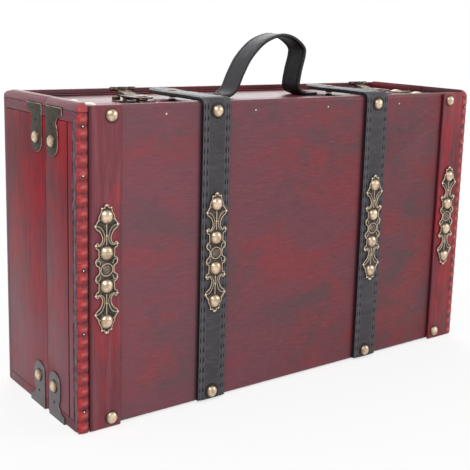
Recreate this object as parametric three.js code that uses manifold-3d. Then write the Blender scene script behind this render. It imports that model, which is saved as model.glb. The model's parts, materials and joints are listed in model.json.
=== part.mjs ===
// Wooden suitcase box with leather straps, a leather handle, two toggle latches and four cast
// filigree plates. Millimetres, +Z up. The lid is the front tray (towards -Y) and swings on two
// hinges under the seam. Inside the groups below, y is the depth behind the front slats.
import * as THREE from "three";
import { mergeVertices } from "three/addons/utils/BufferGeometryUtils.js";
import Module from "manifold-3d";

// Driving dimensions of the case
const caseWidth = 425;
const caseDepth = 138;
const boxHeight = 245;
const lidDepth = 55;
const seamGap = 0.8;
const boardThickness = 8;
const seat = 0.3;
const cutOverrun = 2;
const mergeTolerance = 1e-4;

// Front panel, slats and carved strips
const panelThickness = 5;
const panelRise = 4.5;
const panelEdgeRadius = 3.5;
const trimThickness = 2.5;
const trimEdgeRadius = 0.8;
const carvedWidth = 9;
const carvedPitch = 7;
const carvedDepth = 0.7;
const carvedCrestShares = [0.2, 0.8];
const carvedChamfer = 1.6;
const slatWidth = 27;
const lidGroovePlace = 16.5;
const lidGrooveWidth = 1.2;
const lidGrooveDepth = 0.8;

// Back panel and the half-round mouldings along the top of the ends
const backThickness = 8;
const backEdgeRadius = 5;
const mouldingWidth = 8;
const mouldingHeight = 6.5;
const mouldingRadius = 5.5;
const boardEdgeRadius = 1;

// Lining
const liningThickness = 1;

// Dome nails
const domeRadius = 5.5;
const domeHeight = 3.3;
const domeSides = 14;
const domeRings = 3;
const slatNailPlace = 27.5;
const nailInset = 7.5;

// Corner brackets: an L of sheet metal on each side of the seam at each corner
const sheet = 0.8;
const bracketLength = 38;
const bracketRootWidth = 27;
const bracketLobeWidth = 20;
const bracketWaistWidth = 16.5;
const bracketWaistPlace = 13;
const bracketRootEdge = 6;
const bracketSeamMargin = 4;
const bracketDomePlace = 25.5;
const bracketHolePlace = 13;
const bracketHoleRadius = 0.9;

// Places across, left and right, as shares of the half width from the middle
const strapPlaceShares = [-0.43, 0.405];
const latchPlaceShares = [-0.63, 0.63];
const hingePlaceShares = [-0.53, 0.53];
const handlePlaceShare = 0.05;

// Leather straps: places in depth are from the seam
const strapWidth = 26.5;
const strapThickness = 3.2;
const strapReach = 37;
const strapSwell = 0.3;
const strapTipRise = 2.4;
const strapBottomGap = 1.5;
const strapBendSteps = 5;
const strapTopSteps = 8;
const studReach = 11;
const studCapRadius = 6;
const studCapHeight = 1.6;
const studBarrelRadius = 3;
const studPostRadius = 4;
const studPostHeight = 1.5;
const studTaperShare = 0.8;
const studSides = 16;

// Filigree plates
const filigreeLength = 100;
const filigreeWidth = 19.4;
const filigreeThickness = 1.6;
const filigreePocketDepth = 0.6;
const filigreePocketOverrun = 0.5;
const filigreeHeight = 127;
const filigreeSlatCentre = 22.5;
const filigreeOuterDome = 40.5;
const filigreeInnerDome = 12.7;
const medallionRadius = 5.4;
const medallionSides = 20;
const medallionStretchShare = 1.1;
const medallionBossRadius = 3.2;
const medallionBossHeight = 0.9;

// Handle: a strip with flat feet that are riveted behind the seam
const handleWidth = 24;
const handleThickness = 3;
const handleBehindSeam = 20;
const handleHeight = 56;
const handleSpan = 76;
const handleFlap = 20;
const handleFootRun = 8;
const handleSteps = 44;
const rivetRadius = 4;
const rivetTaperShare = 0.7;
const rivetHeight = 1.2;
const rivetSides = 10;
const rivetInset = 8;

// Toggle latches: a base with two ears, a lever on their pin, a loop on the lever, and a hook
const latchWidth = 25;
const latchCorner = 3;
const latchSeamMargin = 1.2;
const latchBaseLength = 17.4;
const pivotInset = 4.4;
const pivotPinRadius = 1;
const pivotClearance = 0.25;
const pivotPinSides = 12;
const earThickness = 1;
const earRadius = 2.1;
const earFoot = 3.4;
const leverWidth = 11;
const leverBoss = 1.9;
const leverClearance = 0.5;
const leverReach = 17;
const leverThickness = 1.2;
const leverCurl = 4.2;
const loopPivotReach = 5;
const loopPivotRise = 1.5;
const loopBarRadius = 0.8;
const loopWidth = 20;
const loopSheet = 1.2;
const loopWindowLength = 8;
const loopWindowWidth = 10;
const catchLength = 18.4;
const catchShow = 1;
const hookInset = 7;
const hookWidth = 8;
const hookClearance = 0.5;
const hookCurl = 2;

// Hinges under the seam
const hingeWidth = 32;
const hingeLeaf = 18;
const hingeAxisHeight = 0.2;
const barrelRadius = 1.2;
const hingePinRadius = 0.5;
const hingeClearance = 0.2;
const barrelSides = 16;

// Places that follow from the sizes above
const halfWidth = caseWidth / 2;
const feetHeight = seat + sheet;
const panelHeight = boxHeight + panelRise;
const panelFront = trimThickness;
const panelBack = panelFront + panelThickness;
const strapFront = panelFront - seat - strapThickness;
const across = (shares) => ["left", "right"].map((side, i) => [side, shares[i] * halfWidth]);
const strapCentres = across(strapPlaceShares);
const slatNailCentres = [["left", slatNailPlace - halfWidth], ["right", halfWidth - slatNailPlace]];
const studPlace = lidDepth + studReach;
const hingeCentres = across(hingePlaceShares);
const backPlane = caseDepth - backThickness;
const lidEdge = lidDepth - seamGap / 2;
const baseEdge = lidDepth + seamGap / 2;
// The foremost thing is a nail head on a plate on a strap; it and the back panel set the depth
const frontProud = seat + filigreeThickness + domeHeight - strapFront;
const frontPlace = (frontProud - caseDepth) / 2;

const unitX = new THREE.Vector3(1, 0, 0);
const unitY = new THREE.Vector3(0, 1, 0);
const unitZ = new THREE.Vector3(0, 0, 1);
const downY = unitY.clone().negate();

// Directions in which a drawn outline can be laid: its x, its y, and the way it is extruded
const lay = {
  side: new THREE.Matrix4().makeBasis(unitY, unitZ, unitX),
  front: new THREE.Matrix4().makeBasis(unitX, unitZ, downY),
  top: new THREE.Matrix4(),
};

const wasm = await Module();
wasm.setup();

const wood = { color: 0x6e2f3a, roughness: 0.42, metalness: 0 };
const finishes = {
  panel: { ...wood, color: 0x74404a },
  end: { ...wood, color: 0x7c3540 },
  slat: { ...wood, color: 0x7d3541 },
  carved: { ...wood, color: 0xa8252c },
  moulding: { ...wood, color: 0x8a4550 },
  lining: { color: 0x3a1c20, roughness: 0.9, metalness: 0 },
  leather: { color: 0x3c3a40, roughness: 0.55, metalness: 0 },
  brass: { color: 0xc9a868, roughness: 0.3, metalness: 1 },
  bronze: { color: 0x5b4a34, roughness: 0.42, metalness: 0.9 },
  gunmetal: { color: 0x5e5a52, roughness: 0.48, metalness: 0.8 },
};

// Solids: closed geometry in, one closed geometry out
function toSolid(geometry) {
  const bare = geometry.clone();
  bare.deleteAttribute("normal");
  bare.deleteAttribute("uv");
  const merged = mergeVertices(bare, mergeTolerance);
  return new wasm.Manifold(new wasm.Mesh({
    numProp: 3,
    vertProperties: new Float32Array(merged.attributes.position.array),
    triVerts: new Uint32Array(merged.index.array),
  }));
}

function toGeometry(solid) {
  const mesh = solid.getMesh();
  const geometry = new THREE.BufferGeometry();
  geometry.setAttribute("position", new THREE.BufferAttribute(mesh.vertProperties, 3));
  geometry.setIndex(new THREE.BufferAttribute(mesh.triVerts, 1));
  return geometry;
}

function join(first, ...others) {
  return toGeometry(others.reduce((sum, other) => sum.add(toSolid(other)), toSolid(first)));
}

function cut(first, ...others) {
  return toGeometry(others.reduce((rest, other) => rest.subtract(toSolid(other)), toSolid(first)));
}

function common(first, other) {
  return toGeometry(toSolid(first).intersect(toSolid(other)));
}

function mirrorX(geometry) {
  const mirrored = (geometry.index ? geometry.clone() : mergeVertices(geometry)).scale(-1, 1, 1);
  const { index } = mirrored;
  for (let i = 0; i < index.count; i += 3) {
    const second = index.getX(i + 1);
    index.setX(i + 1, index.getX(i + 2));
    index.setX(i + 2, second);
  }
  return mirrored;
}

// Drawing
function outline(points) {
  return new THREE.Shape(points.map(([x, y]) => new THREE.Vector2(x, y)));
}

function rectangle(x0, y0, x1, y1) {
  return outline([[x0, y0], [x1, y0], [x1, y1], [x0, y1]]);
}

// A rectangle whose corners are rounded by one radius each, from the lower left and round to the left
function roundedRectangle(x0, y0, x1, y1, [lowerLeft, lowerRight, upperRight, upperLeft]) {
  const shape = new THREE.Shape();
  shape.moveTo(x0 + lowerLeft, y0);
  shape.lineTo(x1 - lowerRight, y0);
  if (lowerRight > 0) shape.absarc(x1 - lowerRight, y0 + lowerRight, lowerRight, -Math.PI / 2, 0, false);
  shape.lineTo(x1, y1 - upperRight);
  if (upperRight > 0) shape.absarc(x1 - upperRight, y1 - upperRight, upperRight, 0, Math.PI / 2, false);
  shape.lineTo(x0 + upperLeft, y1);
  if (upperLeft > 0) shape.absarc(x0 + upperLeft, y1 - upperLeft, upperLeft, Math.PI / 2, Math.PI, false);
  shape.lineTo(x0, y0 + lowerLeft);
  if (lowerLeft > 0) shape.absarc(x0 + lowerLeft, y0 + lowerLeft, lowerLeft, Math.PI, 1.5 * Math.PI, false);
  return shape;
}

function circle(x, y, radius) {
  return new THREE.Path().absarc(x, y, radius, 0, 2 * Math.PI, true);
}

// An outline pushed out by a length, laid in a direction, starting at a place along that direction
function extrude(shape, length, direction, start, curveSegments = 6) {
  const geometry = new THREE.ExtrudeGeometry(shape, { depth: length, bevelEnabled: false, curveSegments });
  return geometry.translate(0, 0, start).applyMatrix4(direction);
}

function sideBar(shape, x0, x1, curveSegments) {
  return extrude(shape, x1 - x0, lay.side, x0, curveSegments);
}

function upright(shape, z0, z1, curveSegments) {
  return extrude(shape, z1 - z0, lay.top, z0, curveSegments);
}

function relief(shape, back, thickness, curveSegments) {
  return extrude(shape, thickness, lay.front, -back, curveSegments);
}

function rod(radius, length, sides) {
  return new THREE.CylinderGeometry(radius, radius, length, sides).rotateZ(Math.PI / 2);
}

// A domed nail head that stands up from z = 0 and is sunk into what carries it
function dome(sink) {
  const rise = Math.atan2(domeHeight, domeRadius) * 2;
  const sphere = domeRadius / Math.sin(rise);
  const profile = [new THREE.Vector2(0, -sink)];
  if (sink > 0) profile.push(new THREE.Vector2(domeRadius, -sink));
  for (let i = 0; i <= domeRings; i += 1) {
    const angle = rise * (1 - i / domeRings);
    profile.push(new THREE.Vector2(sphere * Math.sin(angle), domeHeight - sphere * (1 - Math.cos(angle))));
  }
  return new THREE.LatheGeometry(profile, domeSides).rotateX(Math.PI / 2);
}

// Groups: the case stands on the brackets that wrap its lower edges
const suitcase = new THREE.Group();
const base = new THREE.Group();
const lid = new THREE.Group();
for (const tray of [base, lid]) {
  tray.position.set(0, frontPlace, feetHeight);
  suitcase.add(tray);
}

function addPiece(parent, name, geometry, finish, x = 0, y = 0, z = 0) {
  const mesh = new THREE.Mesh(geometry, new THREE.MeshStandardMaterial(finishes[finish]));
  mesh.name = name;
  mesh.position.set(x, y, z);
  parent.add(mesh);
  return mesh;
}

// Boards of the two trays
function endBoard(front, back, grooved) {
  const shape = new THREE.Shape();
  shape.moveTo(0, front);
  shape.lineTo(boardThickness, front);
  shape.lineTo(boardThickness, back);
  shape.lineTo(0, back);
  if (grooved) {
    shape.lineTo(0, lidGroovePlace + lidGrooveWidth / 2);
    shape.lineTo(lidGrooveDepth, lidGroovePlace);
    shape.lineTo(0, lidGroovePlace - lidGrooveWidth / 2);
  }
  return upright(shape, boardThickness + seat, boxHeight - boardThickness - seat);
}

function flatBoard(front, back, z0, corners) {
  return sideBar(roundedRectangle(front, z0, back, z0 + boardThickness, corners), -halfWidth, halfWidth, 3);
}

function lining(front, back, openFront) {
  const side = halfWidth - boardThickness - seat;
  const low = boardThickness + seat;
  const high = boxHeight - low;
  const outer = upright(rectangle(-side, front, side, back), low, high);
  const inside = side - liningThickness;
  const cutFront = openFront ? front - cutOverrun : front + liningThickness;
  const cutBack = openFront ? back - liningThickness : back + cutOverrun;
  const room = upright(
    rectangle(-inside, cutFront, inside, cutBack), low + liningThickness, high - liningThickness);
  return cut(outer, room);
}

// Room for a hinge, let into the underside: the leaves lie flush and the barrel goes deeper
function hingeMortise(x) {
  const half = hingeWidth / 2 + seat;
  const leaf = hingeLeaf + seat;
  const room = barrelRadius + seat;
  const flat = rectangle(x - half, lidDepth - leaf, x + half, lidDepth + leaf);
  const deep = rectangle(x - half, lidDepth - room, x + half, lidDepth + room);
  return join(upright(flat, -cutOverrun, sheet + seat), upright(deep, -cutOverrun, hingeAxisHeight + room));
}

function addTrayBoards(tray, prefix, front, back, seamAtBack) {
  const edge = boardEdgeRadius;
  const topCorners = seamAtBack ? [0, 0, edge, 0] : [0, 0, 0, edge];
  const bottomCorners = seamAtBack ? [0, edge, 0, 0] : [edge, 0, 0, 0];
  const end = endBoard(front, back, seamAtBack);
  const top = flatBoard(front, back, boxHeight - boardThickness, topCorners);
  const bottom = cut(flatBoard(front, back, 0, bottomCorners), ...hingeCentres.map(([, x]) => hingeMortise(x)));
  addPiece(tray, `${prefix}_end_left`, end, "end", -halfWidth);
  addPiece(tray, `${prefix}_end_right`, mirrorX(end), "end", halfWidth);
  addPiece(tray, `${prefix}_top_board`, top, "end");
  addPiece(tray, `${prefix}_bottom_board`, bottom, "end");
}

addTrayBoards(lid, "lid", panelBack + seat, lidEdge, true);
addTrayBoards(base, "base", baseEdge, backPlane - seat, false);
addPiece(lid, "lid_lining", lining(panelBack + seat, lidEdge, false), "lining");
addPiece(base, "base_lining", lining(baseEdge, backPlane - seat, true), "lining");

// Half-round mouldings on the top of the ends, notched over the brackets that pass under them
function moulding(front, back, roundedFront) {
  const low = boxHeight + seat;
  const high = low + mouldingHeight;
  const section = roundedRectangle(0, low, mouldingWidth, high, [0, 0, 0, mouldingRadius]);
  const bar = extrude(section, back - front, lay.front, -back);
  const frontRadius = roundedFront ? mouldingRadius : 0;
  const backRadius = roundedFront ? 0 : mouldingRadius;
  const side = roundedRectangle(front, low, back, high, [0, 0, backRadius, frontRadius]);
  const rounded = common(bar, sideBar(side, -cutOverrun, mouldingWidth + cutOverrun));
  const seamSide = roundedFront ? -1 : 1;
  const near = lidDepth + seamSide * (bracketSeamMargin - seat);
  const far = lidDepth + seamSide * (bracketSeamMargin + bracketRootWidth + seat);
  const notch = upright(
    rectangle(-cutOverrun, Math.min(near, far), mouldingWidth + cutOverrun, Math.max(near, far)),
    boxHeight - cutOverrun, boxHeight + sheet + 2 * seat);
  return cut(rounded, notch);
}

const lidMoulding = moulding(0, lidEdge, true);
addPiece(lid, "lid_moulding_left", lidMoulding, "moulding", -halfWidth);
addPiece(lid, "lid_moulding_right", mirrorX(lidMoulding), "moulding", halfWidth);
const baseMoulding = moulding(baseEdge, backPlane - seat, false);
addPiece(base, "base_moulding_left", baseMoulding, "moulding", -halfWidth);
addPiece(base, "base_moulding_right", mirrorX(baseMoulding), "moulding", halfWidth);

// Front panel: rounded along its top and bottom, stepped down at its ends under the mouldings
function frontPanel() {
  const radii = [panelEdgeRadius, 0, 0, panelEdgeRadius];
  const section = roundedRectangle(panelFront, 0, panelBack, panelHeight, radii);
  const slab = sideBar(section, -halfWidth, halfWidth);
  const step = halfWidth - mouldingWidth - seat;
  const corners = [-1, 1].map((side) => relief(
    rectangle(
      Math.min(side * step, side * (halfWidth + cutOverrun)), boxHeight,
      Math.max(side * step, side * (halfWidth + cutOverrun)), panelHeight + cutOverrun),
    panelBack + cutOverrun, panelThickness + 2 * cutOverrun));
  return cut(slab, ...corners);
}

addPiece(lid, "lid_front_panel", frontPanel(), "panel");

// Slats and the notched strips outside them
function slat() {
  const soft = trimEdgeRadius;
  const shape = roundedRectangle(0, 0, slatWidth - seat, trimThickness - seat, [soft, soft, 0, 0]);
  return upright(shape, 0, panelHeight, 3);
}

function carvedStrip() {
  const beads = Math.round(boxHeight / carvedPitch);
  const pitch = boxHeight / beads;
  const points = [[trimThickness - seat, 0]];
  points.push([trimThickness - seat, boxHeight]);
  for (let i = beads - 1; i >= 0; i -= 1) {
    points.push([carvedDepth, (i + 1) * pitch]);
    points.push([0, (i + carvedCrestShares[1]) * pitch]);
    points.push([0, (i + carvedCrestShares[0]) * pitch]);
  }
  points.push([carvedDepth, 0]);
  const notched = sideBar(outline(points.reverse()), 0, carvedWidth - seat);
  const chamfer = carvedChamfer;
  const section = outline([
    [0, chamfer], [chamfer, 0], [carvedWidth, 0], [carvedWidth, trimThickness], [0, trimThickness]]);
  return common(notched, upright(section, -cutOverrun, boxHeight + cutOverrun));
}

const leftStrip = carvedStrip();
addPiece(lid, "carved_strip_left", leftStrip, "carved", -halfWidth);
addPiece(lid, "carved_strip_right", mirrorX(leftStrip), "carved", halfWidth);
addPiece(lid, "slat_left", slat(), "slat", carvedWidth - halfWidth);
addPiece(lid, "slat_right", slat(), "slat", halfWidth - carvedWidth - slatWidth + seat);

// Back panel, rounded all round its rear edge
function backPanel() {
  const r = backEdgeRadius;
  const side = sideBar(
    roundedRectangle(backPlane, 0, caseDepth, panelHeight, [0, r, r, 0]), -halfWidth, halfWidth);
  const plan = upright(
    roundedRectangle(-halfWidth, backPlane, halfWidth, caseDepth, [0, 0, r, r]), -cutOverrun,
    panelHeight + cutOverrun);
  return common(side, plan);
}

addPiece(base, "base_back_panel", backPanel(), "panel");

// Dome nails on the slats and straps
function addNails(prefix, centres, face) {
  for (const [side, x] of centres) {
    for (const [end, z] of [["top", panelHeight - nailInset], ["bottom", nailInset]]) {
      const nail = addPiece(lid, `${prefix}_nail_${end}_${side}`, dome(0), "brass", x, face - seat, z);
      nail.rotation.x = Math.PI / 2;
    }
  }
}

addNails("slat", slatNailCentres, 0);
addNails("strap", strapCentres, strapFront);

// Corner brackets
function bracketFlange() {
  const radius = bracketLobeWidth / 2;
  const shoulder = bracketLength - radius;
  const shape = new THREE.Shape();
  shape.moveTo(0, 0);
  shape.lineTo(bracketRootWidth, 0);
  shape.lineTo(bracketRootWidth, bracketRootEdge);
  shape.quadraticCurveTo(bracketLobeWidth, bracketRootEdge, bracketWaistWidth, bracketWaistPlace);
  shape.quadraticCurveTo(bracketLobeWidth, bracketWaistPlace, bracketLobeWidth, shoulder);
  shape.absarc(radius, shoulder, radius, 0, Math.PI, false);
  shape.holes.push(circle(radius, bracketHolePlace, bracketHoleRadius));
  return shape;
}

// The bracket at the left end's lower edge: x runs inwards from the bend, y away from the seam.
// The case stands on the lower flange, so only a flange that shows has its nail.
function cornerBracket(flatNail) {
  const flange = extrude(bracketFlange(), sheet, lay.top, 0, 4);
  const under = new THREE.Matrix4().makeBasis(unitY, unitX, unitZ.clone().negate());
  const middle = bracketLobeWidth / 2;
  const bracket = join(
    flange.clone().applyMatrix4(lay.side).translate(-sheet, 0, -sheet),
    flange.applyMatrix4(under).translate(-sheet, 0, 0),
    dome(sheet / 2).rotateY(-Math.PI / 2).translate(-sheet, middle, bracketDomePlace));
  if (!flatNail) return bracket;
  return join(bracket, dome(sheet / 2).rotateX(Math.PI).translate(bracketDomePlace, middle, -sheet));
}

function addBrackets() {
  const turned = (geometry, flipY, flipZ) => {
    const copy = geometry.clone().scale(1, flipY ? -1 : 1, flipZ ? -1 : 1);
    return flipY !== flipZ ? mirrorX(copy.scale(-1, 1, 1)) : copy;
  };
  for (const [level, z, isTop] of [["bottom", -seat, false], ["top", boxHeight + seat, true]]) {
    const bracket = cornerBracket(isTop);
    for (const [tray, prefix, away] of [[lid, "lid", -1], [base, "base", 1]]) {
      const y = lidDepth + away * bracketSeamMargin;
      const left = turned(bracket, away < 0, isTop);
      addPiece(tray, `${prefix}_bracket_${level}_left`, left, "gunmetal", -halfWidth - seat, y, z);
      addPiece(tray, `${prefix}_bracket_${level}_right`, mirrorX(left), "gunmetal", halfWidth + seat, y, z);
    }
  }
}

addBrackets();

// Filigree plates: one quarter of the outline as shares of the half width and half length, from
// the finial at the tip to the middle of the plate
const filigreeQuarterShares = [
  [0.1, 1], [0.19, 0.965], [0.2, 0.94], [0.4, 0.965], [0.5, 0.93], [0.48, 0.88], [0.66, 0.83],
  [0.74, 0.77], [0.94, 0.715], [1, 0.68], [0.92, 0.645], [0.62, 0.6], [0.42, 0.53], [0.37, 0.48],
  [0.5, 0.415], [0.72, 0.395], [0.8, 0.425], [0.95, 0.4], [0.93, 0.35], [0.74, 0.325], [0.7, 0.26],
  [0.72, 0.19], [0.9, 0.175], [0.97, 0.13], [0.9, 0.085], [0.7, 0.06], [0.64, 0],
];
// The sunk field beside the centre rib, in the same shares
const filigreePocketShares = [
  [0.12, 0.66], [0.5, 0.7], [0.74, 0.705], [0.78, 0.68], [0.52, 0.645], [0.3, 0.57], [0.24, 0.48],
  [0.3, 0.41], [0.1, 0.41],
];

function filigreePlate() {
  const wide = filigreeWidth / 2;
  const long = filigreeLength / 2;
  const quarter = filigreeQuarterShares.map(([x, y]) => [x * wide, y * long]);
  const middle = quarter.slice(0, -1);
  const upper = [...quarter].reverse();
  const points = [
    ...upper,
    ...middle.map(([x, y]) => [-x, y]),
    ...upper.map(([x, y]) => [-x, -y]),
    ...middle.map(([x, y]) => [x, -y]),
  ];
  const plate = extrude(outline(points), filigreeThickness, lay.top, 0);
  const floor = filigreeThickness - filigreePocketDepth;
  const sink = filigreePocketDepth + filigreePocketOverrun;
  const pockets = [];
  for (const across of [1, -1]) {
    for (const along of [1, -1]) {
      const corners = filigreePocketShares.map(([x, y]) => [across * x * wide, along * y * long]);
      if (across * along > 0) corners.reverse();
      pockets.push(extrude(outline(corners), sink, lay.top, floor));
    }
  }
  const ring = new THREE.Shape();
  ring.absarc(0, 0, medallionRadius, 0, 2 * Math.PI, false);
  const field = extrude(ring, sink, lay.top, floor, medallionSides / 2);
  field.scale(1, medallionStretchShare, 1);
  const bossProfile = [
    new THREE.Vector2(0, floor / 2), new THREE.Vector2(medallionBossRadius, floor / 2),
    new THREE.Vector2(medallionBossRadius, floor + medallionBossHeight / 2),
    new THREE.Vector2(medallionBossRadius / 2, floor + medallionBossHeight),
    new THREE.Vector2(0, floor + medallionBossHeight),
  ];
  const boss = new THREE.LatheGeometry(bossProfile, domeSides).rotateX(Math.PI / 2);
  boss.scale(1, medallionStretchShare, 1);
  const heads = [filigreeOuterDome, filigreeInnerDome, -filigreeInnerDome, -filigreeOuterDome]
    .map((y) => dome(filigreeThickness / 2).translate(0, y, filigreeThickness));
  return join(cut(plate, ...pockets, field), boss, ...heads);
}

const filigree = filigreePlate();
const filigreePlaces = [
  ["filigree_slat_left", filigreeSlatCentre - halfWidth, 0],
  ["filigree_slat_right", halfWidth - filigreeSlatCentre, 0],
  ...strapCentres.map(([side, x]) => [`filigree_strap_${side}`, x, strapFront]),
];
for (const [name, x, face] of filigreePlaces) {
  const plate = addPiece(lid, name, filigree.clone(), "bronze", x, face - seat, filigreeHeight);
  plate.rotation.x = Math.PI / 2;
}

// A strip of even thickness along a drawn line, as a closed outline
function ribbon(line, thickness) {
  const outer = [];
  const inner = [];
  line.forEach(([x, y], i) => {
    const [x0, y0] = line[Math.max(i - 1, 0)];
    const [x1, y1] = line[Math.min(i + 1, line.length - 1)];
    const run = Math.hypot(x1 - x0, y1 - y0);
    const nx = -(y1 - y0) / run;
    const ny = (x1 - x0) / run;
    outer.push([x + nx * thickness / 2, y + ny * thickness / 2]);
    inner.push([x - nx * thickness / 2, y - ny * thickness / 2]);
  });
  return outline([...inner, ...outer.reverse()]);
}

// Straps: up the front, over the panel's edge and back over the recess to a press stud
function strapLine() {
  const bend = panelEdgeRadius + strapThickness / 2;
  const middle = strapFront + strapThickness / 2;
  const top = panelHeight + seat + strapThickness / 2;
  const line = [[middle, strapBottomGap]];
  for (let i = 0; i <= strapBendSteps; i += 1) {
    const angle = (i / strapBendSteps) * Math.PI / 2;
    line.push([middle + bend * (1 - Math.cos(angle)), top - bend * (1 - Math.sin(angle))]);
  }
  const over = new THREE.CatmullRomCurve3([
    new THREE.Vector3(panelBack + panelThickness, top, 0),
    new THREE.Vector3((panelBack + lidDepth) / 2, top + strapSwell, 0),
    new THREE.Vector3(studPlace, top, 0),
    new THREE.Vector3(lidDepth + strapReach, top + strapTipRise, 0),
  ]);
  for (const point of over.getPoints(strapTopSteps)) line.push([point.x, point.y]);
  return line;
}

function strap() {
  const band = sideBar(ribbon(strapLine(), strapThickness), -strapWidth / 2, strapWidth / 2);
  const top = panelHeight + seat + strapThickness;
  const foot = boxHeight + 2 * seat + studPostHeight;
  const barrel = new THREE.CylinderGeometry(studBarrelRadius, studBarrelRadius, top - foot, studSides)
    .rotateX(Math.PI / 2).translate(0, studPlace, (top + foot) / 2);
  const cap = new THREE.SphereGeometry(studCapRadius, studSides, 4)
    .rotateX(Math.PI / 2).scale(1, 1, studCapHeight / studCapRadius).translate(0, studPlace, top);
  return join(band, barrel, cap);
}

function studPost() {
  const tip = studPostRadius * studTaperShare;
  return new THREE.CylinderGeometry(tip, studPostRadius, studPostHeight, studSides).rotateX(Math.PI / 2);
}

for (const [side, x] of strapCentres) {
  addPiece(lid, `strap_${side}`, strap(), "leather", x);
  const middle = boxHeight + seat + studPostHeight / 2;
  addPiece(base, `strap_stud_${side}`, studPost(), "brass", x, studPlace, middle);
}

// Handle: flat feet turned outwards, two legs and an arch that leans to the right, as shares of
// the span between the legs and of the height
const handleArchShares = [
  [0.01, 0.1], [0.1, 0.35], [0.22, 0.62], [0.42, 0.87], [0.66, 0.985], [0.86, 0.95], [1.02, 0.8],
  [1.04, 0.66], [0.985, 0.36], [0.97, 0.1],
];

function handle() {
  const low = boxHeight + seat + handleThickness / 2;
  const rise = handleHeight - handleThickness / 2;
  const left = handlePlaceShare * halfWidth - handleSpan / 2;
  const right = left + handleSpan;
  const arch = new THREE.CatmullRomCurve3([
    new THREE.Vector3(left - handleFlap, low, 0),
    new THREE.Vector3(left - handleFootRun, low, 0),
    ...handleArchShares.map(([x, y]) => new THREE.Vector3(left + handleSpan * x, low + rise * y, 0)),
    new THREE.Vector3(right + handleFootRun, low, 0),
    new THREE.Vector3(right + handleFlap, low, 0),
  ], false, "centripetal");
  const line = arch.getSpacedPoints(handleSteps).map((p) => [p.x, Math.max(p.y, low)]);
  const band = extrude(ribbon(line, handleThickness), handleWidth, lay.front, -handleWidth / 2);
  const length = handleThickness / 2 + rivetHeight;
  const rivets = [left - handleFlap + rivetInset, right + handleFlap - rivetInset].map((x) =>
    new THREE.CylinderGeometry(rivetRadius * rivetTaperShare, rivetRadius, length, rivetSides)
      .rotateX(Math.PI / 2).translate(x, 0, low + length / 2));
  return join(band, ...rivets);
}

addPiece(base, "handle", handle(), "leather", 0, lidDepth + handleBehindSeam);

// Toggle latches, drawn with z = 0 on the top board and y as depth in the case
const latchBaseStart = baseEdge + latchSeamMargin;
const latchTop = seat + sheet;
const pivotPlace = latchBaseStart + pivotInset;
const pivotHeight = latchTop + leverClearance + leverBoss;
const loopPivotPlace = pivotPlace + loopPivotReach;
const loopPivotHeight = pivotHeight + loopPivotRise;
const loopLow = loopPivotHeight - loopSheet / 2;
const catchEnd = lidEdge - latchSeamMargin;
const catchStart = catchEnd - catchLength;
const hookPlace = catchStart + hookInset;

function latchPlate(start, end) {
  const half = latchWidth / 2;
  const r = latchCorner;
  return upright(roundedRectangle(-half, start, half, end, [r, r, r, r]), seat, latchTop, 4);
}

function ear(inner, outer) {
  const shape = new THREE.Shape();
  shape.moveTo(pivotPlace - earFoot, latchTop - sheet / 2);
  shape.lineTo(pivotPlace + earFoot, latchTop - sheet / 2);
  shape.lineTo(pivotPlace + earRadius, pivotHeight);
  shape.absarc(pivotPlace, pivotHeight, earRadius, 0, Math.PI, false);
  return sideBar(shape, Math.min(inner, outer), Math.max(inner, outer), 4);
}

function latchBase() {
  const inner = leverWidth / 2 + seat;
  const outer = inner + earThickness;
  const pin = rod(pivotPinRadius, inner + outer, pivotPinSides).translate(0, pivotPlace, pivotHeight);
  const plate = latchPlate(latchBaseStart, latchBaseStart + latchBaseLength);
  return join(plate, ear(inner, outer), ear(-inner, -outer), pin);
}

function latchLever() {
  const y = pivotPlace;
  const z = pivotHeight;
  const top = z + loopPivotRise + leverBoss;
  const tail = y + leverReach;
  const lowerTail = top + leverCurl - leverThickness;
  const shape = new THREE.Shape();
  shape.moveTo(y, z - leverBoss);
  shape.lineTo(loopPivotPlace + leverBoss, (z + loopPivotHeight) / 2 - leverBoss / 2);
  shape.quadraticCurveTo(tail - leverCurl, top - 2 * leverThickness, tail, lowerTail);
  shape.lineTo(tail - leverThickness / 2, top + leverCurl);
  shape.quadraticCurveTo(tail - leverCurl, top + leverThickness / 2, loopPivotPlace, top);
  shape.lineTo(y, z + leverBoss);
  shape.absarc(y, z, leverBoss, Math.PI / 2, 1.5 * Math.PI, false);
  shape.holes.push(circle(y, z, pivotPinRadius + pivotClearance));
  shape.holes.push(circle(loopPivotPlace, loopPivotHeight, loopBarRadius + pivotClearance));
  return sideBar(shape, -leverWidth / 2, leverWidth / 2, 6);
}

function latchLoop() {
  const half = loopWidth / 2;
  const front = catchStart + catchShow + half;
  const slotHalf = leverWidth / 2 + 2 * seat + earThickness;
  const slotFront = pivotPlace - earFoot - 2 * seat;
  const back = loopPivotPlace + 2 * loopBarRadius;
  const shape = new THREE.Shape();
  shape.moveTo(-half, back);
  shape.lineTo(-half, front);
  shape.absarc(0, front, half, Math.PI, 2 * Math.PI, false);
  shape.lineTo(half, back);
  shape.lineTo(slotHalf, back);
  shape.lineTo(slotHalf, slotFront);
  shape.lineTo(-slotHalf, slotFront);
  shape.lineTo(-slotHalf, back);
  const windowHalf = loopWindowWidth / 2;
  const windowStart = hookPlace - hookCurl - loopBarRadius;
  shape.holes.push(rectangle(-windowHalf, windowStart, windowHalf, windowStart + loopWindowLength));
  const bar = rod(loopBarRadius, loopWidth - seat, pivotPinSides);
  bar.translate(0, loopPivotPlace, loopPivotHeight);
  return join(upright(shape, loopLow, loopLow + loopSheet, 7), bar);
}

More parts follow.
